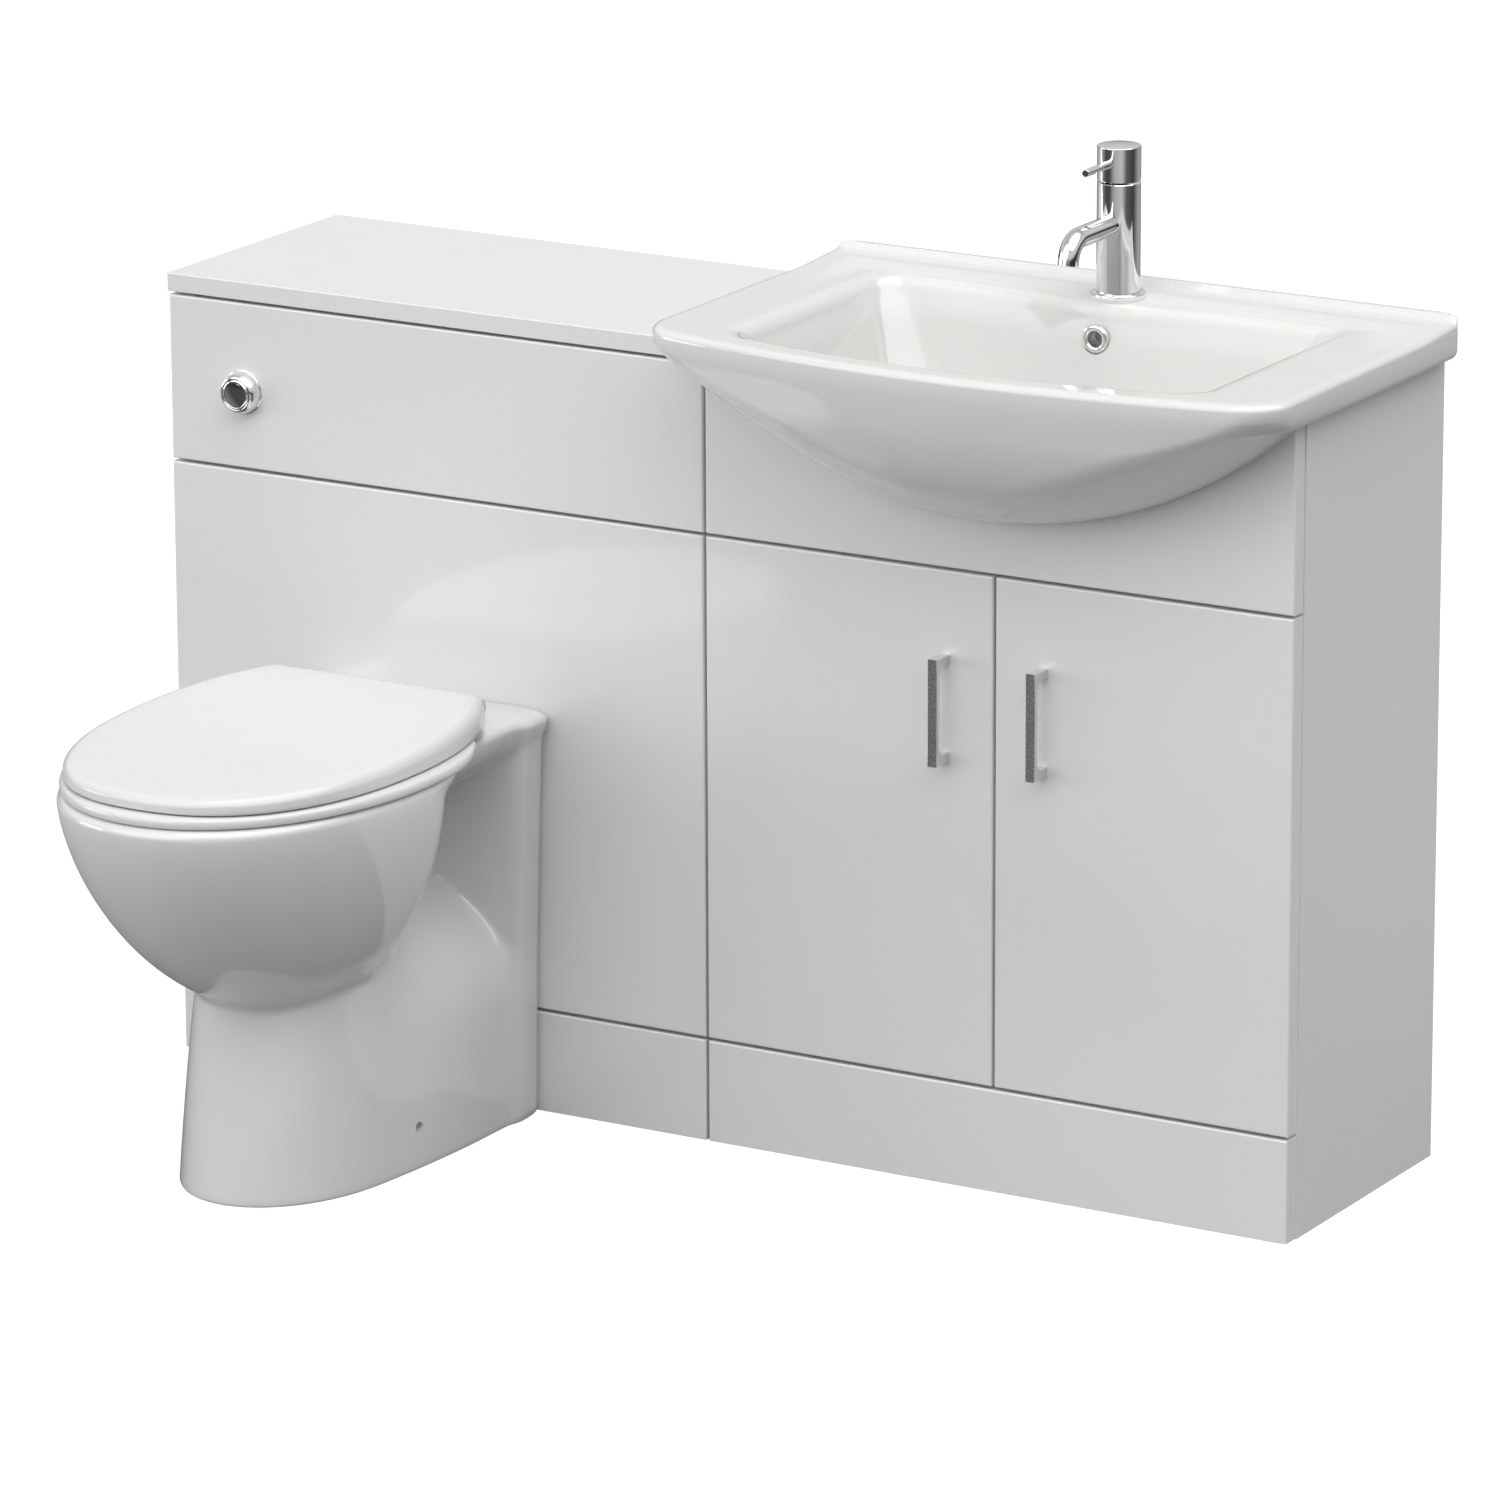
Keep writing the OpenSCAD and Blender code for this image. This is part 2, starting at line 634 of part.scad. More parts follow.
trap_top = waste_z - 26 - tail_l + 12;
module bottle_trap() color(plastic)
    translate([cab_x, waste_y, trap_top]) difference() {
        union() {
            translate([0, 0, -26]) cylinder(r = tail_d / 2 + 8, h = 26);
            translate([0, 0, -26 - trap_h]) cylinder(d = trap_d, h = trap_h);
            translate([0, 0, -26 - trap_h - 10])
                cylinder(d = trap_d + 8, h = 16, $fn = 48);
            translate([0, 0, -48]) rod_y(pipe_d / 2 + 6, 0, 62);
        }
        translate([0, 0, -14]) cylinder(r = tail_d / 2 + 0.2, h = 15);
        translate([0, 0, -26 - trap_h + 12])
            cylinder(d = trap_d - 6, h = trap_h - 20);
        translate([0, 0, -40]) cylinder(r = 15, h = 41);
        translate([0, 0, -48]) rod_y(pipe_d / 2 - 0.9, 40, 63);
        translate([0, 0, -48]) rod_y(pipe_d / 2 - 2.5, 20, 41);
    }
module waste_pipe() color(plastic)
    translate([cab_x, waste_y, trap_top - 48]) difference() {
        union() {
            rod_y(pipe_d / 2 - 1, 42, unit_d - waste_y);
            rod_y(pipe_d / 2, 65, unit_d - waste_y);
        }
        rod_y(pipe_d / 2 - 2.5, 41, unit_d - waste_y + 1);
    }

// ------------------------------------------------------------------- tap
head_z = tap_z + tap_h + head_gap;
pivot_z = head_z + 6;
tilt_cut = 17;
module at_tap() translate([cab_x, tap_y, 0]) children();
module tap_flange() color(chrome) at_tap() translate([0, 0, tap_z])
    rotate_extrude() polygon([[tap_d / 2 - 3, 0], [flange_d / 2, 0],
        [flange_d / 2, 0.8], [flange_d / 2 - 2.2, 2.4],
        [tap_d / 2 - 3, 2.4]]);
spout_a = 80;                          // turn of the bend
spout_e = 5;                           // straight end below the bend
module at_bend() translate([0, -spout_l, tap_z + spout_h - spout_r])
    children();
module at_tip() at_bend() rotate([spout_a, 0, 0])
    translate([0, 0, spout_r]) children();
module tap_body() color(chrome) at_tap() difference() {
    union() {
        translate([0, 0, tap_z + 2.4]) cylinder(d = tap_d, h = tap_h - 2.4);
        translate([0, 0, tap_z + spout_h]) rod_y(spout_d / 2, -spout_l, 0);
        at_bend() rotate([0, -90, 0]) rotate([180, 0, 0])
            rotate_extrude(angle = spout_a) translate([spout_r, 0])
            circle(d = spout_d);
        at_tip() rod_y(spout_d / 2 - 0.15, -spout_e, 1.5);
    }
    // outlet, cartridge and inlet bores
    at_tip() rod_y(spout_d / 2 - 1.6, -spout_e - 1, 3);
    translate([0, 0, tap_z + tap_h - 12]) cylinder(r = 8 + run_c, h = 13);
    translate([0, 0, tap_z]) cylinder(r = 12 + 0.1, h = 20);
}
module tap_aerator() color(steel) at_tap() at_tip() difference() {
    rod_y(spout_d / 2 - 1.7, 0.6 - spout_e, 2.8);
    for (a = [0:60:300], r = [3, 5.6]) rotate([0, a, 0])
        translate([r, 0, 0]) rod_y(0.9, -spout_e, -1.6);
    rod_y(0.9, -spout_e, -1.6);
}
module tap_stem() color(steel) at_tap() difference() {
    translate([0, 0, tap_z + tap_h - 11.8])
        cylinder(r = 8, h = 11.8 + head_gap + 18);
    translate([0, 0, pivot_z]) rod_x(2 + run_c, -10, 10);
}
module tap_pin() color(steel) at_tap() translate([0, 0, pivot_z])
    rod_x(2, -18.2, 18.2);
module tap_head() color(chrome) at_tap() difference() {
    union() {
        translate([0, 0, head_z]) cylinder(d = tap_d, h = head_h - 0.8);
        translate([0, 0, head_z + head_h - 0.8])
            cylinder(r1 = tap_d / 2, r2 = tap_d / 2 - 0.8, h = 0.8);
        translate([0, 0, head_z + pin_h])
            rod_y(pin_d / 2, -tap_d / 2 - pin_l, -17.5);
    }
    translate([0, 0, head_z - 1]) cylinder(r = 16, h = 24);
    translate([0, 0, pivot_z]) rod_x(2 + run_c, -18.5, 18.5);
    // the back of the lower edge is cut away so that the head can tilt
    translate([0, 1, head_z]) rotate([tilt_cut, 0, 0])
        translate([-40, 0, -20]) cube([80, 60, 20]);
}
module tap_shank() color(steel) at_tap() difference() {
    translate([0, 0, unit_h - 30]) cylinder(r = 12, h = tap_z + 19 - unit_h + 30);
    for (x = [-5, 5]) translate([x, 0, unit_h - 31])
        cylinder(r = 4, h = 40);
}
module tap_nut() color(steel) at_tap() difference() {
    union() {
        translate([0, 0, rim_z - 16 - 4]) cylinder(r = 24, h = 4 - near_c);
        translate([0, 0, rim_z - 16 - 12]) cylinder(r = 18, h = 8, $fn = 6);
    }
    translate([0, 0, rim_z - 40]) cylinder(r = 12.1, h = 40);
}

// ------------------------------------------------------------------- pan
// The outside is one skin round four forms: the bowl, the top plate with the
// deck, the trunk and the block at the wall. Each is an egg that changes with
// the height z; near(..) is about the distance to its outline, negative inside.
function near(x, y, a, ym, bf, bb, nf, nb, taper = 0) =
    a < 2 ? 500 :
    let (v = y - ym, b = v > 0 ? bb : bf, e = v > 0 ? nb : nf,
        k = v > 0 ? 1 - taper * pow(min(1, v / b), 1.5) : 1)
    (pow(pow(abs(x) / (a * k), e) + pow(abs(v) / b, e), 1 / e) - 1)
        * min(a, b);
function blend(a, b, k) = let (h = max(k - abs(a - b), 0) / k)
    min(a, b) - h * h * k / 4;
function shell(u) = u >= 1 ? 0 : pow(1 - pow(u, 1.6), 1 / 2.03);
function bowl_at(x, y, z) = let (
    u = max(0, (rim_h - 10 - z) / (pan_deep - 10)),
    g = shell(u))
    near(x, y, pan_hw * g, 21 * u - pan_mid, pan_front * g, 122 * g, 2.15, 2);
function plate_at(x, y, z) = let (
    o = lookup(z - rim_h, [[-90, 130], [-62, 62], [-44, 34], [-26, 13],
        [-12, 3], [0, 0]]))
    z < rim_h - 88 ? 500 : near(x, y, pan_hw - o, -pan_mid, pan_front - o,
        pan_mid - near_c, 2.15, 7, 1 - deck_hw / pan_hw);
// the trunk: a column under the bowl and a hump over the trap way behind it
trap_hw = 42;                          // half width over the weir
block_d = 50;                          // depth of the wall block
function trunk_at(x, y, z) = let (t = z / rim_h,
    c = clamp01((t - 0.285) / 0.335))
    blend(near(x, y, foot_hw * (0.9 - 0.1 * t - 0.32 * t * t), -250,
            foot_out - 250 - 62 * t, 150 - 90 * t, 2, 2.4),
        near(x, y, mix(foot_hw, trap_hw, c * c * c), -110, 190 - 150 * t,
            110 - near_c, 2.2, 8), 30);
function block_at(x, y, z) = let (t = z / rim_h)
    near(x, y, mix(foot_hw - 1, deck_hw - 5, t), -block_d / 2 - near_c,
        block_d / 2, block_d / 2, 5, 7);
function skin_at(x, y, z, o) = o + blend(
    blend(bowl_at(x, y, z), plate_at(x, y, z),
        max(0.5, min(14, (rim_h - z) / 4))),
    blend(trunk_at(x, y, z), block_at(x, y, z), 12), 14);
// Outermost crossing of the skin along a ray. The rays fan out from the
// bowl's axis in front, run straight out to the sides behind it, and fan out
// again from the middle of the wall block: each is [y where it starts, angle].
axis_y = -235;
block_y = -block_d / 2;
function march(y, c, s, z, o, r) = r < 12 ? 12 :
    skin_at(c * r, y + s * r, z, o) < 0 ? halve(y, c, s, z, o, r, r + 12, 9)
    : march(y, c, s, z, o, r - 12);
function halve(y, c, s, z, o, a, b, n) = n == 0 ? (a + b) / 2 :
    let (m = (a + b) / 2) skin_at(c * m, y + s * m, z, o) < 0
    ? halve(y, c, s, z, o, m, b, n - 1) : halve(y, c, s, z, o, a, m, n - 1);
half_rays = concat(
    [for (d = [0, 18, 34, 47, 58, 66, 75, 92, 112, 137, 160, 173]) [axis_y + d, 0]],
    [for (d = [5, 2, 0.8, -0.3, -1.5, -3.5, -7, -13]) [-block_d - d, 0]],
    [for (a = [0, 6, 9, 11, 14, 22, 45]) [block_y, a]]);
rays = concat(half_rays, [[block_y, 90]],
    [for (i = [len(half_rays) - 1:-1:1])
        [half_rays[i][0], 180 - half_rays[i][1]]],
    [for (t = [180:6:354]) [axis_y, t]]);
function skin(z, o = 0) = [for (r = rays)
    let (c = cos(r[1]), s = sin(r[1]),
        d = march(r[0], c, s, z, o, r[1] > 180 ? 345 : 177),
        y = min(r[0] + s * d, -near_c - o * 0.5))
    [c * d, y, z]];
// The angle about the axis at which each ray ends, for the rings inside
turn = [for (r = rays)
    let (c = cos(r[1]), s = sin(r[1]),
        d = min(130 / max(abs(c), eps), -block_y / max(s, eps)))
    r[1] > 180 ? r[1] : atan2(r[0] - axis_y + s * d, c * d)];
// Rings inside the pan, at the same angles
function pot(z, a, ym, bf, bb, nf, nb) = [for (t = turn)
    let (c = cos(t), s = sin(t), e = s > 0 ? nb : nf)
    [a * sign(c) * pow(abs(c), 2 / e),
     ym + (s > 0 ? bb : bf) * sign(s) * pow(abs(s), 2 / e), z]];
function cavity(u, o) = let (g = shell(u))
    pot(rim_h - 205 * u, (pan_hw - o) * g, -pan_mid - 12 + 40 * u,
        (pan_front - o - 12) * g, 102 * g, 2.1, 2.2);
function hollow(z, o) = let (t = z / rim_h)
    pot(z, foot_hw * 0.93 - o, -150, foot_out - 160 - o, 112 - o, 2.4, 6);

module pan() color(clay) translate([wc_x, 0, 0]) difference() {
    union() {
        loft(concat(
            [hollow(160, clay_t + 30), hollow(130, clay_t + 6),
             hollow(60, clay_t), hollow(0, clay_t)],
            [for (z = [0, 2, 45, 95, 140, 165, 178, 190, 203, 218, 236, 258,
                282, 308, 332, 352, 370, 384, rim_h - 10]) skin(z)],
            [skin(rim_h - 5, 0.4), skin(rim_h - 1.6, 2), skin(rim_h, 5)],
            [pot(rim_h, pan_hw - 42, -pan_mid - 12, pan_front - 52, 86, 2.1,
                 2.2),
             pot(rim_h - 5, pan_hw - 46, -pan_mid - 12, pan_front - 56, 82,
                 2.1, 2.2),
             pot(rim_h - 12, pan_hw - 44, -pan_mid - 12, pan_front - 54, 84,
                 2.1, 2.2),
             pot(rim_h - 18, pan_hw - 28, -pan_mid - 12, pan_front - 40, 98,
                 2.1, 2.2)],
            [for (u = [0.16, 0.28, 0.42, 0.57, 0.72, 0.85, 0.95])
                cavity(u, 26)]),
            [0, -150, 166], [0, 28 - pan_mid, rim_h - 205]);
        translate([0, 0, outlet_h]) rod_y(outlet_d / 2, -20, 45);
    }
    // trap way from the sump over the weir to the outlet
    translate([0, -pan_mid + 36, rim_h - 182]) rotate([-60, 0, 0])
        cylinder(r = 26, h = 118);
    translate([0, -141, outlet_h + 100]) sphere(r = 26.5);
    translate([0, -141, outlet_h + 100]) rotate([-145, 0, 0])
        cylinder(r = 26, h = 118);
    translate([0, 0, outlet_h]) rod_y(outlet_d / 2 - 8, -78, 50);
    // flush way into the rim
    translate([0, 0, inlet_h]) rod_y(inlet_d / 2, -160, 1);
    for (s = [-1, 1]) translate([0, -fix_y, fix_h])
        rod_x(fix_d / 2, s > 0 ? 40 : -foot_hw - 30, s > 0 ? foot_hw + 30 : -40);
    for (s = [-1, 1]) translate([s * hinge_x, -hinge_y, rim_h - 40])
        cylinder(r = 4.5, h = 60);
}

// ------------------------------------------------------------ seat and lid
seat_z = rim_h + seat_gap;
lid_z = seat_z + seat_t + lid_gap;
axis_z = rim_h + hinge_z;
seat_mid = pan_mid;
function seat_egg(z, o) = egg(z, seat_hw - o, -seat_mid, seat_front - o,
    seat_mid - hinge_y - 16 - o, 2.2, 3, 0, 56);
function hole_egg(z, o) = egg(z, seat_hw - seat_ring + o, -seat_mid,
    seat_front - seat_ring + 4 + o, 92 + o, 2.1, 2.3, 0, 56);
module at_hinge() translate([wc_x, -hinge_y, axis_z]) children();

module seat() color(plastic) {
    difference() {
        union() {
            translate([wc_x, 0, 0]) loop_loft([
                seat_egg(seat_z, 3), seat_egg(seat_z + 1.5, 0.6),
                seat_egg(seat_z + seat_t * 0.5, 0),
                seat_egg(seat_z + seat_t - 1.5, 1.2),
                seat_egg(seat_z + seat_t, 4),
                hole_egg(seat_z + seat_t, 8),
                hole_egg(seat_z + seat_t - 2, 2),
                hole_egg(seat_z + 2, 0), hole_egg(seat_z, 1.5)]);
            // arms that carry the knuckles
            for (s = [-1, 1]) at_hinge() {
                translate([s * (hinge_x + 18), 0, 0])
                    rod_x(hinge_d, -6.5, 6.5);
                translate([s * (hinge_x + 18) - 6.5, -42, seat_z - axis_z])
                    cube([13, 42, seat_t - 1.5]);
            }
        }
        at_hinge() rod_x(hinge_d / 2 + run_c, -hinge_x - 30, hinge_x + 30);
    }
}
module seat_buffers() color("gainsboro") for (s = [-1, 1])
    for (y = [-pan_mid - seat_front * 0.6, -pan_mid + 105])
        translate([wc_x + s * (y < -pan_mid ? 98 : 112), y, rim_h + near_c])
        cylinder(r = 8, h = seat_gap - near_c);

// Lid: a shallow shell with a rounded top edge, drawn in at the back.
lid_bb = seat_mid - hinge_y + 12;
function lid_egg(z, o) = egg(z, seat_hw + 5 - o, -seat_mid,
    seat_front + 5 - o, lid_bb - o, 2.2, 7, 0.2, 56);
module lid() color(plastic) {
    lid_shell();
    // cheeks that close the rear corners round the hinge axis
    r = axis_z - rim_h - 2;
    for (s = [-1, 1]) at_hinge() mirror([s > 0 ? 0 : 1, 0, 0]) difference() {
        union() {
            rod_x(r, hinge_x + 28, hinge_x + 42);
            translate([hinge_x + 42, 0, 0]) rotate([0, 90, 0])
                cylinder(r1 = r, r2 = r - 3, h = 4);
        }
        translate([hinge_x, -20, lid_z + lid_t - axis_z - 0.6])
            cube([60, 40, 20]);
        rod_x(hinge_d / 2 + run_c, 0, hinge_x + 30);
    }
}
module lid_shell() difference() {
    union() {
        translate([wc_x, 0, 0]) loft([
            lid_egg(lid_z, 3), lid_egg(lid_z + 1.5, 0.8),
            lid_egg(lid_z + lid_t * 0.45, 0),
            lid_egg(lid_z + lid_t * 0.7, 2), lid_egg(lid_z + lid_t * 0.88, 5.5),
            lid_egg(lid_z + lid_t, 12)],
            [0, -seat_mid, lid_z], [0, -seat_mid, lid_z + lid_t]);
        for (s = [-1, 1]) at_hinge()
            translate([s * (hinge_x - 18), 0, 0]) {
                rod_x(hinge_d, -6.5, 6.5);
                translate([-6.5, -hinge_d, 0])
                    cube([13, 2 * hinge_d, lid_z + lid_t - axis_z - 2]);
            }
    }
    // hollow underside
    difference() {
        translate([wc_x, 0, 0]) loft([
            lid_egg(lid_z - 1, 13), lid_egg(lid_z + lid_t - lid_skin - 3, 15),
            lid_egg(lid_z + lid_t - lid_skin, 20)],
            [0, -seat_mid, lid_z - 1],
            [0, -seat_mid, lid_z + lid_t - lid_skin]);
        for (s = [-1, 1]) at_hinge() {
            translate([s * (hinge_x - 18) - 6.5, -30, -20])
                cube([13, 60, 50]);
            translate([s * (hinge_x - 18) - 6.5 - 10 * s, -30, -20])
                cube([13, 60, 50]);
        }
        translate([wc_x, -pan_mid - seat_front * 0.75, 0])
            for (s = [-1, 1]) translate([s * 62, 0, lid_z - 2])
                cylinder(r = 10, h = 30);
    }
    at_hinge() {
        // room for the seat's knuckles and the posts
        for (s = [-1, 1]) translate([s * (hinge_x + 7.5), 0, 0])
            translate([-18.7, -16, -20]) cube([37.4, 40, 29.2]);
        rod_x(hinge_d / 2 + run_c, -hinge_x - 30, hinge_x + 30);
        // the rear lower edge clears the deck as the lid swings
        translate([-hinge_x - 27, 3, -30]) cube([2 * hinge_x + 54, 40, 26]);
        for (s = [-1, 1]) translate([s * (hinge_x - 18), 0, 0])
            difference() {
                translate([-8, -40, -40]) cube([16, 52, 38]);
                rod_x(hinge_d, -9, 9);
                translate([-9, -50, -3.5]) cube([18, 60, 4]);
            }
    }
}
module lid_buffers() color("gainsboro") for (s = [-1, 1])
    translate([wc_x + s * 62, -pan_mid - seat_front * 0.75,
        seat_z + seat_t + near_c]) cylinder(r = 7, h = lid_gap - near_c);

// Posts bolted through the deck, each with its pin.
module seat_hinges() color(chrome) for (s = [-1, 1]) at_hinge() {
    translate([s * hinge_x, 0, 0]) {
        difference() {
            union() {
                rod_x(hinge_d, -9, 9);
                translate([0, 0, -hinge_z]) cylinder(r = hinge_d - 1, h = hinge_z - 5);
            }
            translate([-20, -20, -hinge_z - 20]) cube([40, 40, 20]);
        }
        translate([0, 0, -hinge_z - 34]) cylinder(r = 4, h = 36);
    }
    translate([s * hinge_x, 0, 0]) rod_x(hinge_d / 2, -25.5, 25.5);
}

module pan_brackets() color(steel) for (s = [-1, 1])
    translate([wc_x, -fix_y, 0]) difference() {
        union() {
            translate([s * (fix_x - 6) - 1.5, -14, 0]) cube([3, 28, 56]);
            translate([s > 0 ? fix_x - 40 : 6 - fix_x, -14, 0])
                cube([34, 28, 3]);
        }
        translate([0, 0, fix_h]) rod_x(3.2, -200, 200);
        translate([s * (fix_x - 24), 0, -1]) cylinder(r = 4.5, h = 6);
    }
module pan_screws() color(steel) for (s = [-1, 1])
    translate([wc_x, -fix_y, fix_h]) mirror([s > 0 ? 0 : 1, 0, 0]) {
        rod_x(3, fix_x - 14, fix_x + clay_t - 3);
        rod_x(fix_d / 2 - 0.2, fix_x + clay_t - 6, fix_x + clay_t - 2.5);
    }
// Inner face of the foot at the side fixings
fix_x = foot_hw * 0.885 - clay_t;

// --------------------------------------------------------------- cistern
tank_z = tank_top - tank_h;
tank_cy = tank_y + tank_d / 2;
module soft_box(w, d, h, r) translate([0, 0, 0]) linear_extrude(height = h) {
    square([w - 2 * r, d], center = true);
    square([w, d - 2 * r], center = true);
    for (x = [-1, 1], y = [-1, 1])
        translate([x * (w / 2 - r), y * (d / 2 - r)]) circle(r);
}
valve_x = wc_x - tank_w / 2 + 50;
module cistern_tank() color("whitesmoke") difference() {
    translate([wc_x, tank_cy, tank_z]) difference() {
        soft_box(tank_w, tank_d, tank_h, 25);
        translate([0, 0, tank_t])
            soft_box(tank_w - 2 * tank_t, tank_d - 2 * tank_t, tank_h, 21);
    }
    translate([wc_x, tank_cy, tank_z - 1]) cylinder(r = 32, h = tank_t + 2);
    translate([valve_x, tank_cy, tank_z - 1])
        cylinder(r = thread_d / 2 + 0.2, h = tank_t + 2);
}
module cistern_cover() color("whitesmoke")
    translate([wc_x, tank_cy, tank_top]) difference() {
        union() {
            soft_box(tank_w + 6, tank_d, 4, 25);
            translate([0, 0, -6]) soft_box(tank_w - 2 * tank_t - 1,
                tank_d - 2 * tank_t - 1, 7, 20);
        }
        translate([0, 0, -7]) soft_box(tank_w - 2 * tank_t - 7,
            tank_d - 2 * tank_t - 7, 8, 17);
    }
module fill_valve() color("whitesmoke")
    translate([valve_x, tank_cy, tank_z]) {
        translate([0, 0, -34]) cylinder(r = thread_d / 2, h = 40);
        translate([0, 0, tank_t]) cylinder(r = 17, h = 6);
        translate([0, 0, tank_t]) cylinder(r = 9, h = tank_h - 70);
        translate([0, 0, tank_h - 66]) cylinder(r = 19, h = 34);
        translate([0, 0, -10]) cylinder(r = 17, h = 10, $fn = 6);
    }
// Cup float on the valve's stem; it sinks as the cistern empties.
float_s = 90;
module fill_float() color("gainsboro")
    translate([valve_x, tank_cy, tank_z + tank_h - 66 - 2 - 46]) difference() {
        cylinder(r = 26, h = 46);
        translate([0, 0, -1]) cylinder(r = 9 + 2 * run_c + 0.3, h = 50);
        translate([0, 0, -1]) tube(23, 12, 42);
    }
// Seat, cage and overflow tube of the flush valve
lift_s = 2 * button_s;
module flush_valve() color("whitesmoke")
    translate([wc_x, tank_cy, tank_z]) {
        difference() {
            union() {
                translate([0, 0, -26]) cylinder(r = 31.5, h = 30);
                translate([0, 0, tank_t]) cylinder(r = 40, h = 5);
                translate([0, 0, -14]) cylinder(r = 40, h = 14, $fn = 8);
            }
            translate([0, 0, -27]) cylinder(r = flush_d / 2 + 0.1, h = 22);
            translate([0, 0, -8]) cylinder(r = 23, h = 20);
        }
        difference() {
            translate([0, 0, tank_t + 5]) tube(40, 36, 70);
            for (a = [0:60:120]) rotate([0, 0, a])
                translate([-13, -60, tank_t + 10]) cube([26, 120, 40]);
        }
        translate([0, 0, tank_t + 75]) tube(40, 16, 4);
        translate([0, 0, tank_t + 79]) tube(20, 16, 70);
    }
module flush_plunger() color("gainsboro")
    translate([wc_x, tank_cy, tank_z + tank_t + 5 + near_c]) difference() {
        union() {
            cylinder(r = 30, h = 4);
            cylinder(r = 14, h = tank_h - 60);
            translate([0, 0, 4]) cylinder(r1 = 22, r2 = 14, h = 10, $fn = 48);
        }
        translate([0, 0, -1]) cylinder(r = 11, h = tank_h - 50);
    }
bend_r = 42;
module flush_pipe() color("whitesmoke") {
    difference() {
        union() {
            translate([wc_x, tank_cy, inlet_h + bend_r])
                cylinder(d = flush_d, h = tank_z - 8 - inlet_h - bend_r);
            translate([wc_x, tank_cy - bend_r, inlet_h + bend_r])
                rotate([90, 0, -90]) rotate([0, 0, 180])
                rotate_extrude(angle = 90)
                translate([bend_r, 0]) circle(d = flush_d);
            translate([wc_x, 0, inlet_h]) rod_y(flush_d / 2, -30,
                tank_cy - bend_r);
        }
        translate([wc_x, tank_cy, inlet_h + bend_r])
            cylinder(d = flush_d - 5, h = tank_z - 7 - inlet_h - bend_r);
        translate([wc_x, tank_cy - bend_r, inlet_h + bend_r])
            rotate([90, 0, -90]) rotate([0, 0, 180])
            rotate_extrude(angle = 90)
            translate([bend_r, 0]) circle(d = flush_d - 5);
        translate([wc_x, 0, inlet_h]) rod_y(flush_d / 2 - 2.5, -31,
            tank_cy - bend_r);
    }
}
// Rubber seal between the flush pipe and the pan's inlet
module flush_cone() color("dimgray") translate([wc_x, 0, inlet_h])
    difference() {
        union() {
            rod_y(inlet_d / 2 - 0.1, -22, 0);
            rod_y(inlet_d / 2 + 3.5, 0.2, board_t - 4);
            rod_y(inlet_d / 2 - 0.1, -1, 1);
        }
        rod_y(flush_d / 2 + 0.1, -30, board_t + 2);
    }
module soil_pipe() color("whitesmoke") translate([wc_x, 0, outlet_h])
    difference() {
        union() {
            rod_y(outlet_d / 2 + 8, 8, 58);
            rod_y(soil_d / 2, 57, unit_d);
        }
        rod_y(outlet_d / 2 + 0.1, 7, 47);
        rod_y(soil_d / 2 - 4, 46, unit_d + 1);
    }

// ----------------------------------------------------------- flush button
shank_r = button_d / 2 + 4;
module at_button() translate([button_x, 0, button_z])
    rotate([90, 0, 0]) children();
module button_bezel() color(chrome) at_button() {
    // a thin flange, then a full round that ends in the button's ring
    ring_r = button_d / 2 + run_c;
    rotate_extrude() polygon(concat(
        [[ring_r, 0], [bezel_d / 2, 0], [bezel_d / 2, 0.8]],
        [for (a = [0:9:90]) [mix(ring_r + 0.6, bezel_d / 2 - 0.8, cos(a)),
            mix(1.2, bezel_out, sin(a))]],
        [[ring_r, bezel_out - 0.4]]));
    translate([0, 0, -board_t - 12])
        tube(shank_r, button_d / 2 + run_c, board_t + 12.5);
}
module push_button() color(chrome) at_button() {
    rotate_extrude() polygon(concat([[0, -16], [button_d / 2, -16],
        [button_d / 2, bezel_out - 1.4], [button_d / 2 - 1.8, bezel_out + 0.6],
        [button_d / 2 - 2.4, bezel_out + 0.2]],
        [for (k = [0.8:-0.2:0]) [(button_d / 2 - 2.4) * k,
            bezel_out + 0.2 + 1.2 * (1 - k * k)]]));
}
// Bellows housing screwed on the shank; it also clamps the fascia.
module button_bellows() color("dimgray") at_button() difference() {
    union() {
        translate([0, 0, -board_t - 8]) cylinder(r = shank_r + 7, h = 8);
        translate([0, 0, -board_t - 34]) cylinder(r = shank_r + 3, h = 28);
        translate([0, 0, -board_t - 46]) cylinder(r = 3, h = 14);
    }
    translate([0, 0, -board_t - 13]) cylinder(r = shank_r + 0.1, h = 14);
    translate([0, 0, -board_t - 30]) cylinder(r = button_d / 2, h = 20);
}

place() wc_side_left();
place() wc_side_right();
place() wc_worktop();
place() wc_fascia();
place() wc_lower_panel();
place() wc_plinth();
place() wc_rear_rail();
place() wc_front_rail();
place() cab_side_left();
place() cab_side_right();
place() cab_base();
place() cab_back_rail();
place() cab_front_rail();
place() cab_fascia();
place() cab_plinth();
place() door_left();
place() door_right();
place() handle_left();
place() handle_right();
place() handle_screws_left();
place() handle_screws_right();
place() hinge_cups_left();
place() hinge_cups_right();
place() hinge_arms_left();
place() hinge_arms_right();
place() basin();
place() overflow_ring();
place() waste_body();
place() waste_nut();
place() waste_plug();
place() bottle_trap();
place() waste_pipe();
place() tap_flange();
place() tap_body();
place() tap_aerator();
place() tap_stem();
place() tap_pin();
place() tap_head();
place() tap_shank();
place() tap_nut();
place() pan();
place() seat();
place() seat_buffers();
place() lid();
place() lid_buffers();
place() seat_hinges();
place() pan_brackets();
place() pan_screws();
place() cistern_tank();
place() cistern_cover();
place() fill_valve();
place() fill_float();
place() flush_valve();
place() flush_plunger();
place() flush_pipe();
place() flush_cone();
place() soil_pipe();
place() button_bezel();
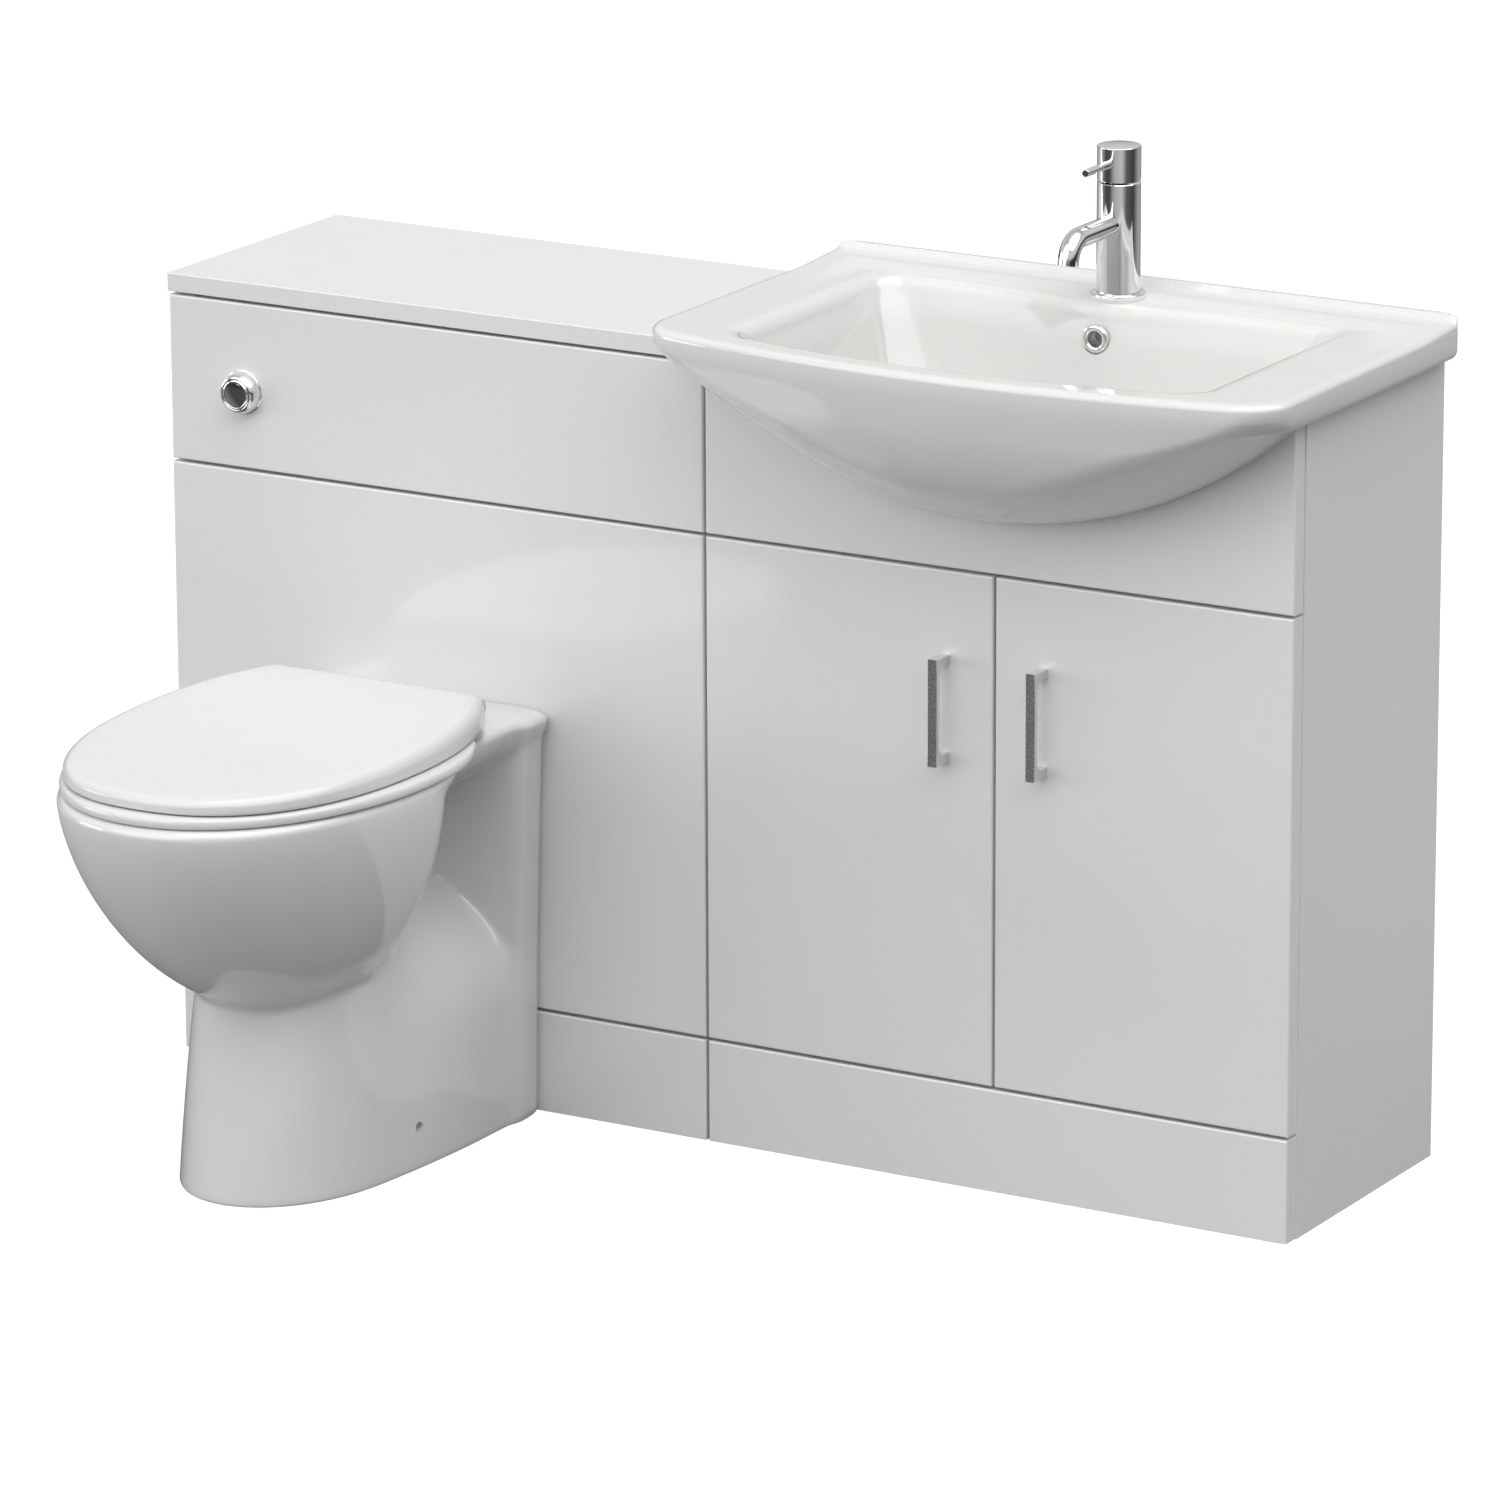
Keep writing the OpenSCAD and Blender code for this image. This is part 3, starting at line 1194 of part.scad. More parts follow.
place() push_button();
place() button_bellows();
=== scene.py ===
# %% [markdown]
# # A toilet and a basin in one run of white furniture
# The unit is a box round a cistern with a pan in front of it, joined to a
# cupboard with two doors, a ceramic basin and a mixer tap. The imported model
# gives every size and every joint. This file dresses it: the curved ceramic,
# the seat and the chrome are worked out again as fine smooth surfaces, the
# boards keep their exact shape, and every part gets a finish of its own.

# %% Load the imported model
import json
import math
import bpy
import numpy as np
from mathutils import Matrix


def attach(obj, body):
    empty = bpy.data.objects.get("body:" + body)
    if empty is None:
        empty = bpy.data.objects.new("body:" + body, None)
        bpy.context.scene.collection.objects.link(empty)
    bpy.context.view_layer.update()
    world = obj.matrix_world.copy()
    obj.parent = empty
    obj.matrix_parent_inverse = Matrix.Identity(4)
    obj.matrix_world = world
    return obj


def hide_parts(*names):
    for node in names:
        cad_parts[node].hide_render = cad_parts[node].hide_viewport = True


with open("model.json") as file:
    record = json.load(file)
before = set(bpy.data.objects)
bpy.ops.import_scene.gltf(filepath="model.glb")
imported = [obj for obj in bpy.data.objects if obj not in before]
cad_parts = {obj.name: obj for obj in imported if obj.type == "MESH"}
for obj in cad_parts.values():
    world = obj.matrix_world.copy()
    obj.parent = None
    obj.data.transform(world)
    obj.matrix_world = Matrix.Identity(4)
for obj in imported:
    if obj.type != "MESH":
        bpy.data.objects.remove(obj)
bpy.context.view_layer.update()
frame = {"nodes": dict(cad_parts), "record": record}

scene = bpy.context.scene
node = frame["nodes"]

# %% [markdown]
# ## Where the camera stands
# A catalogue picture is taken from far away with a long lens, so that upright
# edges stay upright and the two halves keep their proportions. The camera
# stands in front on the right, 2.7 metres up, and looks left and down. Three
# turns settle it: the heading, the tilt down and a hair of roll.

# %% Camera
stand = (4.0815, -6.8044, 2.6638)
heading, tilt, roll = 30.357, 15.803, -0.227
# the sensor in millimetres, then the focal length and the picture's width,
# both counted in points of the picture
sensor, focal, picture = 36.0, 8863.6, 1500
lens = bpy.data.cameras.new("camera")
lens.sensor_width = sensor
lens.lens = sensor * focal / picture
lens.clip_end = 100
camera = bpy.data.objects.new("camera", lens)
camera.matrix_world = (
    Matrix.Translation(stand)
    @ Matrix.Rotation(math.radians(heading), 4, "Z")
    @ Matrix.Rotation(math.radians(90 - tilt), 4, "X")
    @ Matrix.Rotation(math.radians(roll), 4, "Z"))
scene.collection.objects.link(camera)
scene.camera = camera
print("lens in millimetres:", round(lens.lens, 1))

# %% [markdown]
# ## Light for white on white
# White furniture on a white ground is drawn by small steps of grey alone: the
# top is the lightest, the fronts a step darker, the side darker still. A
# uniform sky would lose these steps, so the sky is dim and soft, and three
# broad lamps do most of the work. To the camera the sky stays plain white, as
# on a studio sweep. Gloss needs dark and light shapes to mirror, so the sky
# that gloss sees is banded.

# %% Node helpers
def add(tree, kind, inputs=None, **props):
    """One shader node with its settings and its plain input values."""
    made = tree.nodes.new(kind)
    for key, value in props.items():
        setattr(made, key, value)
    for key, value in (inputs or {}).items():
        made.inputs[key].default_value = value
    return made


def wire(source, target):
    """Links an output to an input of the same node tree."""
    source.id_data.links.new(source, target)


def ramp(tree, source, stops):
    """A colour ramp fed by source; stops are (place, grey or colour)."""
    made = add(tree, "ShaderNodeValToRGB")
    points = made.color_ramp.elements
    while len(points) < len(stops):
        points.new(0.5)
    for point, (place, tone) in zip(points, stops):
        point.position = place
        tone = (tone,) * 3 if np.isscalar(tone) else tone
        point.color = (*tone, 1)
    wire(source, made.inputs["Fac"])
    return made.outputs["Color"]


def split(tree, where):
    """The x, y and z outputs of a place or direction."""
    parts = add(tree, "ShaderNodeSeparateXYZ")
    wire(where, parts.inputs[0])
    return parts.outputs


def grey(tone):
    """A grey as red, green, blue and cover."""
    return (tone, tone, tone, 1)


print("a grey of a half:", grey(0.5))

# %% Sky
# (height, grey) from straight down, 0, past the horizon, 0.5, to the top, 1
SKY = [(0.0, 0.14), (0.46, 0.16), (0.54, 0.22), (1.0, 0.24)]
MIRRORED_SKY = [(0.0, 0.04), (0.47, 0.05), (0.52, 0.03), (0.58, 0.55),
                (0.66, 0.75), (0.84, 0.50), (1.0, 0.70)]
scene.view_settings.view_transform = "Standard"
scene.view_settings.look = "None"
sky = bpy.data.worlds.new("studio")
scene.world = sky
sky.use_nodes = True
tree = sky.node_tree
tree.nodes.clear()
where = add(tree, "ShaderNodeTexCoord").outputs["Generated"]
height = add(tree, "ShaderNodeMapRange", {"From Min": -1.0, "From Max": 1.0})
wire(split(tree, where)["Z"], height.inputs["Value"])
soft = ramp(tree, height.outputs[0], SKY)
banded = ramp(tree, height.outputs[0], MIRRORED_SKY)
path = add(tree, "ShaderNodeLightPath")
glossy = add(tree, "ShaderNodeMix", data_type="RGBA")
wire(path.outputs["Is Glossy Ray"], glossy.inputs["Factor"])
wire(soft, glossy.inputs["A"])
wire(banded, glossy.inputs["B"])
seen = add(tree, "ShaderNodeMix", {"B": grey(1)}, data_type="RGBA")
wire(path.outputs["Is Camera Ray"], seen.inputs["Factor"])
wire(glossy.outputs["Result"], seen.inputs["A"])
light = add(tree, "ShaderNodeBackground")
wire(seen.outputs["Result"], light.inputs["Color"])
out = add(tree, "ShaderNodeOutputWorld")
wire(light.outputs[0], out.inputs[0])
print("sky of", len(tree.nodes), "nodes")

# %% [markdown]
# Three lamps stand round the unit. The strongest one is high on the right, for
# the tops and the right side. The second is in front, a little to the left,
# for the fronts, and the third is weak and low on the far left and reaches
# under the round forms. A wide disc of light keeps the shadows soft.

# %% Lamps
def lamp(name, energy, spread, lift, turn):
    """A far lamp whose disc is spread degrees wide. It is lift degrees above
    the horizon and turn degrees to the right of straight in front."""
    made = bpy.data.lights.new(name, "SUN")
    made.energy, made.angle = energy, math.radians(spread)
    held = bpy.data.objects.new(name, made)
    held.rotation_euler = (math.radians(90 - lift), 0, math.radians(turn))
    scene.collection.objects.link(held)


lamp("key", 1.24, 60, 31, -18)
lamp("side", 2.50, 70, 64, 77)
lamp("left", 0.95, 30, 2, -66)
print("three lamps")

# %% [markdown]
# The floor is plain white to the camera and sends a quarter of the light back
# up to the unit. Gloss sees another floor, a painted reflection that glows.
# Close by it is dark, which is painted shadow. Further out it is pale in front
# and at the far left, with dark between. These zones run round the unit like
# the hands of a clock, and glaze and chrome mirror them.

# %% Floor
REACH = 9.0
floor_mesh = bpy.data.meshes.new("floor")
floor_mesh.from_pydata([(-REACH, -REACH, 0), (REACH, -REACH, 0),
                        (REACH, REACH, 0), (-REACH, REACH, 0)], [],
                       [(0, 1, 2, 3)])
floor = bpy.data.objects.new("floor", floor_mesh)
scene.collection.objects.link(floor)
ground = bpy.data.materials.new("studio floor")
ground.use_nodes = True
tree = ground.node_tree
tree.nodes.clear()
sent_back = add(tree, "ShaderNodeBsdfDiffuse", {"Color": grey(0.27)})
glow = add(tree, "ShaderNodeEmission", {"Color": grey(1), "Strength": 0.86})
pale = add(tree, "ShaderNodeBsdfDiffuse", {"Color": grey(0.30)})
to_camera = add(tree, "ShaderNodeAddShader")
wire(pale.outputs[0], to_camera.inputs[0])
wire(glow.outputs[0], to_camera.inputs[1])
floor_mesh.materials.append(ground)
print("a floor", 2 * REACH, "metres wide")

# %% Painted reflection: what gloss mirrors of the floor
# (turn round the unit, grey): 0 is the left, 0.25 the front, 0.5 the right
# and 0.75 behind the wall
ZONES = [(0.0, 0.45), (0.06, 0.30), (0.12, 0.07), (0.20, 0.08), (0.27, 0.45),
         (0.38, 0.60), (0.45, 0.12), (0.56, 0.05), (0.66, 0.40), (0.78, 0.30),
         (0.85, 0.08), (0.92, 0.45)]
CLOSE, FAR = 0.5, 1.5
where = add(tree, "ShaderNodeTexCoord").outputs["Object"]
turned = add(tree, "ShaderNodeTexGradient", gradient_type="RADIAL")
wire(where, turned.inputs[0])
zones = ramp(tree, turned.outputs["Fac"], ZONES)
away = add(tree, "ShaderNodeVectorMath", operation="LENGTH")
wire(where, away.inputs[0])
far = add(tree, "ShaderNodeMapRange", {"From Min": CLOSE, "From Max": FAR})
wire(away.outputs["Value"], far.inputs["Value"])
# close by, the mirrored floor is dark: painted shadow
tones = add(tree, "ShaderNodeMix", {"A": grey(0.10)}, data_type="RGBA")
wire(far.outputs[0], tones.inputs["Factor"])
wire(zones, tones.inputs["B"])
mirrored = add(tree, "ShaderNodeEmission")
wire(tones.outputs["Result"], mirrored.inputs["Color"])
print(len(ZONES), "tones round the unit")

# %% Which ray sees which floor
path = add(tree, "ShaderNodeLightPath")
gloss = add(tree, "ShaderNodeMixShader")
wire(path.outputs["Is Glossy Ray"], gloss.inputs[0])
wire(sent_back.outputs[0], gloss.inputs[1])
wire(mirrored.outputs[0], gloss.inputs[2])
pick = add(tree, "ShaderNodeMixShader")
wire(path.outputs["Is Camera Ray"], pick.inputs[0])
wire(gloss.outputs[0], pick.inputs[1])
wire(to_camera.outputs[0], pick.inputs[2])
out = add(tree, "ShaderNodeOutputMaterial")
wire(pick.outputs[0], out.inputs[0])
print("floor of", len(tree.nodes), "nodes")

# %% [markdown]
# ## From rings of numbers to a mesh
# Every curved piece here is a stack of rings. A ring is a closed outline, and
# the stack climbs from one end of the piece to the other. Neighbouring rings
# are joined by four sided faces, and a single point closes each end. All sizes
# are in millimetres from the corner where the unit's left side, its front and
# the floor meet, and one sum at the end brings them into the model's frame.

# %% Faces between rings
# from the unit's corner to the middle of the model's frame
shift = np.array([-620.0, 115.0, 0.0])


def faces_of(m, n, closed=False, first=False, last=False):
    """Four sided faces between m rings of n points, and the two fans of
    triangles to a pole at each end. Outwards is along j then up i. A
    triangle is kept as a row of four whose last number is -1."""
    i, j = np.meshgrid(np.arange(m if closed else m - 1), np.arange(n),
                       indexing="ij")
    up, on = (i + 1) % m, (j + 1) % n
    quads = np.stack([i * n + j, i * n + on, up * n + on, up * n + j], -1)
    rows = [quads.reshape(-1, 4)]
    k = np.arange(n)
    none = np.full(n, -1)
    if first:
        rows.append(np.stack([np.full(n, m * n), (k + 1) % n, k, none], -1))
    if last:
        top = (m - 1) * n
        rows.append(np.stack([np.full(n, m * n + bool(first)), top + k,
                              top + (k + 1) % n, none], -1))
    return np.concatenate(rows)


def shell(rings, first=None, last=None, closed=False):
    """Points and faces of one closed surface through rings (m, n, 3)."""
    m, n, _ = rings.shape
    points = [rings.reshape(-1, 3)]
    points += [np.asarray(p, float)[None] for p in (first, last)
               if p is not None]
    return np.concatenate(points), faces_of(
        m, n, closed, first is not None, last is not None)


print("two rings of four points:", len(faces_of(2, 4)), "faces")


# %% One mesh, one piece
def mesh_of(name, shells):
    """One mesh from several surfaces, each numbered after the one before."""
    sizes = np.cumsum([0] + [len(points) for points, _ in shells])
    points = np.concatenate([points for points, _ in shells])
    rows = np.concatenate([np.where(faces < 0, -1, faces + base)
                           for (_, faces), base in zip(shells, sizes)])
    mesh = bpy.data.meshes.new(name)
    corners = rows[rows >= 0]
    count = (rows >= 0).sum(1)
    mesh.vertices.add(len(points))
    mesh.vertices.foreach_set("co", ((points + shift) / 1000).ravel())
    mesh.loops.add(len(corners))
    mesh.loops.foreach_set("vertex_index", corners)
    mesh.polygons.add(len(rows))
    mesh.polygons.foreach_set("loop_start",
                              np.concatenate([[0], np.cumsum(count)[:-1]]))
    mesh.polygons.foreach_set("use_smooth", np.ones(len(rows), bool))
    mesh.update(calc_edges=True)
    mesh.validate()
    return mesh


def piece(name, shells, body, stands_for, sharp=40):
    """One object from several surfaces that rides on body and stands for
    model nodes; edges over sharp degrees stay crisp."""
    mesh = mesh_of(name, shells)
    mesh.set_sharp_from_angle(angle=math.radians(sharp))
    made = bpy.data.objects.new(name, mesh)
    scene.collection.objects.link(made)
    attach(made, body)
    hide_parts(*stands_for)
    print(name, len(mesh.vertices), "points")
    return made


# %% [markdown]
# A cast form has no corners, so a few key rings are enough: the rings between
# them lie on smooth curves. Two small functions do all other easing.

# %% Curves between key rings
def flow(keys, steps):
    """More rings between the key rings. Along each line of points the curve
    is a cubic whose slope at a key is the harmonic mean of the slopes beside
    it, or nil where they disagree, so it never swings past the keys."""
    keys = np.asarray(keys)
    gap = np.sqrt((np.diff(keys, axis=0) ** 2).sum(-1)).mean(1) + 1e-6
    gap = gap[:, None, None]
    slope = np.diff(keys, axis=0) / gap
    a, b = slope[:-1], slope[1:]
    even = np.where(a * b > 0, 2 * a * b / (a + b + 1e-12 * np.sign(a)), 0)
    tangent = np.concatenate([slope[:1], even, slope[-1:]])
    t = np.linspace(0, 1, steps, endpoint=False)[None, :, None, None]
    p0, p1 = keys[:-1, None], keys[1:, None]
    m0 = tangent[:-1, None] * gap[:, None]
    m1 = tangent[1:, None] * gap[:, None]
    made = ((2 * t**3 - 3 * t**2 + 1) * p0 + (t**3 - 2 * t**2 + t) * m0
            + (3 * t**2 - 2 * t**3) * p1 + (t**3 - t**2) * m1)
    return np.concatenate([made.reshape(-1, *keys.shape[1:]), keys[-1:]])


def smooth(v):
    """3v^2 - 2v^3 between 0 and 1, level outside."""
    c = np.clip(v, 0, 1)
    return c * c * (3 - 2 * c)


def mix(a, b, t):
    """a + (b - a) t"""
    return a + (b - a) * t


print("half way up the ease from 0 to 1:", smooth(0.5))


# %% [markdown]
# ## The basin
# A semi recessed basin is cast in one piece: a thin edge with a bowed front
# and round corners, a deep belly that swings back under it, and a wide bowl
# inside. Seen from above every level is the same kind of outline, an oblong
# with its front bowed out, so one function draws them all and the numbers
# that drive it glide from the belly's foot over the edge down into the bowl.

# %% Basin outline
# the basin's middle, its rim, the lower face of its edge and its lowest point
BASIN_X, RIM, EDGE_LOW, FOOT = 910.0, 812.0, 782.0, 654.0
# half its width, its front and rear ends, and how far the front is bowed
HALF, FRONT_Y, WALL_Y, BOW = 330, -128, 300, 42
# how deep the bowl is, and where its waste stands
DEPTH, WASTE_Y = 124, 75
# points on a corner, along the back and along the front
ARC, BACK, FRONT = 17, 47, 63


def tray(z, hw, yf, yb, rx, ry, rb, bow, tap=0.0, lip=0.0, hb=None,
         halved=False):
    """Oblong of half width hw from yf + bow to yb, corners rx by ry in front
    and rb behind; y then drops by bow (1 - (x/hw)^2) along the front, and by
    tap exp(-(x/75)^2) along the back. lip lifts the strip along the wall. hb
    is the half width inside the cupboard, behind y = ys, and halved ends the
    outline there."""
    narrow = hb is not None
    yc, hr, ys = yf + bow, min(hw, hb) if narrow else hw, -0.3
    r0 = min(rb, (yb - max(yc, 0)) * 0.5 - 1, hr - 1)
    ry = min(ry, ys - yc - 0.2 if narrow else (yb - yc) * 0.5 - 1)
    a = np.linspace(0, np.pi / 2, ARC)
    c, s = np.cos(a), np.sin(a)
    y1, y2 = ((ys - 0.1, ys) if narrow else
              (mix(yc + ry, yb - r0, 0.4), mix(yc + ry, yb - r0, 0.6)))
    y3 = mix(y2, yb - r0, 0.5)
    line = np.linspace(0, 1, BACK + 2)[1:-1]
    if halved:
        t = np.linspace(0, 1, 2 * ARC + BACK + 2)[1:-1]
        back = np.stack([mix(hr, -hr, t), np.full(len(t), ys)], 1)
        left = [[-hr, ys], [-mix(hr, hw, 0.5), ys], [-hw, y1]]
        right = [[hw, y1], [mix(hr, hw, 0.5), ys], [hr, ys]]
    else:
        back = np.concatenate([
            np.stack([hr - r0 + r0 * c, yb - r0 + r0 * s], 1),
            np.stack([mix(hr - r0, r0 - hr, line), np.full(BACK, yb)], 1),
            np.stack([r0 - hr - r0 * s, yb - r0 + r0 * c], 1)])
        left = [[-hr, y3], [-hr, y2], [-hw, y1]]
        right = [[hw, y1], [hr, y2], [hr, y3]]
    line = np.linspace(0, 1, FRONT + 2)[1:-1]
    p = np.concatenate([
        back, left,
        np.stack([rx - hw - rx * c, yc + ry - ry * s], 1),
        np.stack([mix(rx - hw, hw - rx, line), np.full(FRONT, yc)], 1),
        np.stack([hw - rx + rx * s, yc + ry - ry * c], 1), right])
    w = np.clip((yc + ry - p[:, 1]) / ry, 0, 1)
    rear = 0 if halved else np.clip((p[:, 1] - (yb - r0)) / max(r0, 1), 0, 1)
    y = (p[:, 1] - bow * np.maximum(0, 1 - (p[:, 0] / hw) ** 2) * w
         - tap * np.exp(-(p[:, 0] / 75) ** 2) * rear)
    return np.stack([p[:, 0] + BASIN_X, y, z + lip_at(y, lip)], 1)


def lip_at(y, lip):
    """The strip along the wall climbs by 0.4 lip at 75 mm from the wall and
    by 0.6 lip at 18 mm from it."""
    return (0.4 * lip * smooth((y - 225) / 30)
            + 0.6 * lip * smooth((y - 282) / 6))


def belly(z, halved=False):
    """Below the edge, at the share t of its height: half width
    0.97 HALF t^(1/2.2), front on an ellipse."""
    t = min(1, (z - FOOT) / (EDGE_LOW - FOOT))
    hw = HALF * 0.97 * t ** (1 / 2.2)
    yf = FRONT_Y * math.sqrt(1 - ((RIM - z) / 160) ** 2)
    return tray(z, hw, yf, mix(150, 240, math.sqrt(t)), mix(hw - 1, 55, t),
                mix(-yf, 48, t), mix(hw / 2, 30, t), BOW * t, 0, 0,
                min(254, hw - 14), halved)


def edge(z, o, lip=0.0):
    """The basin's outer edge, drawn in by o."""
    return tray(z, HALF - o, FRONT_Y + o, WALL_Y - o, 40, 38, 20 - o / 2, BOW,
                0, lip)


def bowl(d, o):
    """Inside of the bowl at depth share d, drawn in by o."""
    return tray(RIM - DEPTH * d, 242 - o, -94 + o * 0.95, 224 - o * 0.95,
                34 + 30 * d, 30 + 20 * d, 26 + 30 * d,
                BOW * 0.72 * (1 - 0.7 * d), 20 * (1 - d))


print("one level of the basin:", len(edge(RIM, 0)), "points")

# %% [markdown]
# The levels climb the belly from its foot to the edge. At the sides the edge
# is a band with a flat underside. In front it flows into the belly without a
# step, so each ring there is a mix of the two, and the share of the flowing
# form grows towards the front.

# %% Outside of the basin
foot = [belly(656.6, True), belly(660, True), belly(664, True), belly(664.02)]
side = [belly(FOOT + (EDGE_LOW - FOOT) * k)
        for k in np.linspace(0.09, 0.8, 28)]
band = [belly(761), belly(766), belly(771), belly(776), belly(EDGE_LOW),
        edge(EDGE_LOW, 4), edge(782.8, 2.3), edge(785, 0.8), edge(788, 0),
        edge(797, 0)]
FLOW_LOW, FLOW_HIGH = 756.4, 799
rim = []
for step, ring in enumerate(band, 1):
    t = 0.94 * step / len(band)
    flowing = mix(belly(FLOW_LOW), edge(FLOW_HIGH, 0), 1 - (1 - t) ** 1.4)
    flowing[:, 2] = mix(FLOW_LOW, FLOW_HIGH, t)
    front = smooth((-25 - flowing[:, 1:2]) / 55)
    rim.append(mix(ring, flowing, front))
rim.append(edge(805, 0))
# the upper edge is a quarter round of radius ROUND, and the strip along the
# wall stands LIP above the deck
ROUND, LIP = 7, 10
turn_over = [edge(RIM - ROUND * (1 - math.sin(a)), ROUND * (1 - math.cos(a)),
                  LIP) for a in np.linspace(0.25, np.pi / 2, 9)]
print(len(foot + side + rim + turn_over), "levels outside")

# %% [markdown]
# The deck is flat but for the strip along the wall. At its inner edge it rolls
# over into the bowl, whose levels narrow down to the waste.

# %% Deck and bowl of the basin
deck_a, deck_b = edge(RIM, 12, LIP), bowl(0.003, -8)
deck = [mix(deck_a, deck_b, t) for t in np.linspace(0, 1, 14)[:-1]]
for ring in deck[1:]:
    ring[:, 2] = RIM + lip_at(ring[:, 1], LIP)
inside = flow([deck_b, bowl(0.008, -5), bowl(0.02, -2), bowl(0.06, 2),
               bowl(0.14, 6), bowl(0.3, 17), bowl(0.55, 34), bowl(0.78, 54),
               bowl(0.92, 80), bowl(0.985, 118)], 7)
outer = np.array(foot + side + rim + turn_over + deck)
rings = np.concatenate([outer, inside])
basin_shells = [shell(rings, (BASIN_X, -14, FOOT),
                      (BASIN_X, WASTE_Y, RIM - DEPTH))]
print(len(rings), "levels in all")


# %% [markdown]
# ## Turned parts and bent tubes
# Taps, buttons and wastes are turned on a lathe, so a profile of radius and
# height swept once round an axis gives them exactly. The spout is a round bar
# bent in one plane, so the same circle is carried along its centre line.

# %% Lathe
def lathe(profile, centre, axis="z", n=96):
    """Profile rows (radius, along) swept round an axis through centre. The
    axis is the direction in which along grows."""
    profile = np.asarray(profile, float)
    t = np.linspace(0, 2 * np.pi, n, endpoint=False)
    r, along = profile[:, :1], profile[:, 1:] + 0 * t
    x, y = r * np.cos(t), r * np.sin(t)
    made = {"z": (x, y, along), "y": (x, along, -y), "-y": (x, -along, y),
            "x": (along, x, y), "-x": (-along, -x, y)}[axis]
    made = np.stack(made, -1) + np.asarray(centre, float)
    if profile[0, 0] == 0 and profile[-1, 0] == 0:
        return shell(made[1:-1], made[0, 0], made[-1, 0])
    return shell(made, closed=True)


def rod(radius, low, high):
    """The profile of a plain round bar from low to high."""
    return [[0, low], [radius, low], [radius, high], [0, high]]


def bevel(r0, z0, r1, z1, r2, z2, steps=6):
    """Points of a round from (r0, z0) to (r2, z2) with its corner at (r1, z1):
    (1-t)^2 a + 2t(1-t) b + t^2 c."""
    t = np.linspace(0, 1, steps)[:, None]
    a, b, c = np.array([[r0, z0], [r1, z1], [r2, z2]], float)
    return ((1 - t) ** 2 * a + 2 * t * (1 - t) * b + t ** 2 * c).tolist()


print("a turned bar:", len(lathe(rod(1, 0, 1), (0, 0, 0))[0]), "points")


# %% Bent tube
def tube(path, radius, n=64):
    """A circle carried along a path in a plane of constant x. Each ring is
    p + r (cos t x + sin t u), where u is square to the path and to x."""
    path = np.asarray(path, float)
    go = np.gradient(path, axis=0)
    go /= np.linalg.norm(go, axis=1)[:, None]
    u = np.cross(go, (1.0, 0, 0))
    t = np.linspace(0, 2 * np.pi, n, endpoint=False)[None, :, None]
    ring = path[:, None] + radius * (np.cos(t) * np.array([1.0, 0, 0])
                                     + np.sin(t) * u[:, None])
    return shell(ring, path[0], path[-1])


# %% [markdown]
# Holes in the ceramic are cut once the outside is whole: a turned tool is
# taken away from the piece and then removed. What is left is plain mesh.

# %% Cutting a hole
def cut(target, shells):
    """Takes closed surfaces away from a piece, once and for good."""
    tool = bpy.data.objects.new("cutter", mesh_of("cutter", shells))
    scene.collection.objects.link(tool)
    step = target.modifiers.new("hole", "BOOLEAN")
    step.operation, step.object, step.solver = "DIFFERENCE", tool, "EXACT"
    step.use_self = True
    bpy.context.view_layer.update()
    graph = bpy.context.evaluated_depsgraph_get()
    made = bpy.data.meshes.new_from_object(target.evaluated_get(graph))
    target.modifiers.clear()
    target.data = made
    made.set_sharp_from_angle(angle=math.radians(40))
    bpy.data.objects.remove(tool)
    print(target.name, "after cutting:", len(made.polygons), "faces")


# %% [markdown]
# The basin is one cast piece with a raised round seat for the tap. Its waste
# hole has a wide recess on top for the waste's flange, and so has the
# overflow for its ring.

# %% Basin piece
TAP = (BASIN_X, 239, 0)
WASTE = (BASIN_X, WASTE_Y, 0)
OVERFLOW = (BASIN_X, 192, 781)
basin_shells.append(lathe([[0, 786], [28, 786], [28, 815.4],
                           *bevel(28, 815.4, 28, 816, 27.2, 816),
                           [0, 816]], TAP))
basin = piece("basin_ceramic", basin_shells, "unit", ["basin"])
cut(basin, [lathe(rod(33, 686, 716), WASTE),
            lathe(rod(22.5, 640, 690), WASTE),
            lathe(rod(14.2, -20, 4), OVERFLOW, "y"),
            lathe(rod(9, -10, 22), OVERFLOW, "y")])


# %% [markdown]
# ## The pan
# The pan's outside is one skin round several forms: the egg shaped bowl, the
# flat top with its deck, the column under the bowl, the low hump over the trap
# behind it, and the block against the wall. Each form has a formula that is
# negative inside and grows outwards. Where two forms meet, a soft minimum of
# their formulas makes the hollow fillet of cast ceramic. The skin is found by
# walking inwards along rays until the formula turns negative. The rays fan out
# from the bowl in front, run straight out to the sides behind it, so that they
# reach into the deep recess, and fan out again from the wall block.

# %% Pan formulas
# the pan's middle, its top, the depth of the wall block, and the length from
# y = -110 to the pan's back
PAN_X, TOP, BLOCK, REAR = 300.0, 403.0, 50.0, 109.7
# a distance that stands for far away
OFF = 500.0


def near(x, y, a, ym, bf, bb, nf, nb):
    """About the distance to a super ellipse of half width a, front length bf
    and back length bb: ((|x|/a)^e + (|v|/b)^e)^(1/e) - 1, times the size.
    The exponent e is nf in front of y = ym and nb behind it."""
    v = y - ym
    b, e = np.where(v > 0, bb, bf), np.where(v > 0, nb, nf)
    a = a + 0 * v
    safe = np.maximum(a, 2)
    d = (((np.abs(x) / safe) ** e + (np.abs(v) / np.maximum(b, 2)) ** e)
         ** (1 / e) - 1) * np.minimum(safe, b)
    return np.where(a < 2, OFF, d)


def blend(a, b, k):
    """Soft minimum: min(a, b) - h^2 k / 4 with h = max(k - |a - b|, 0) / k."""
    h = np.maximum(k - np.abs(a - b), 0) / k
    return np.minimum(a, b) - h * h * k / 4


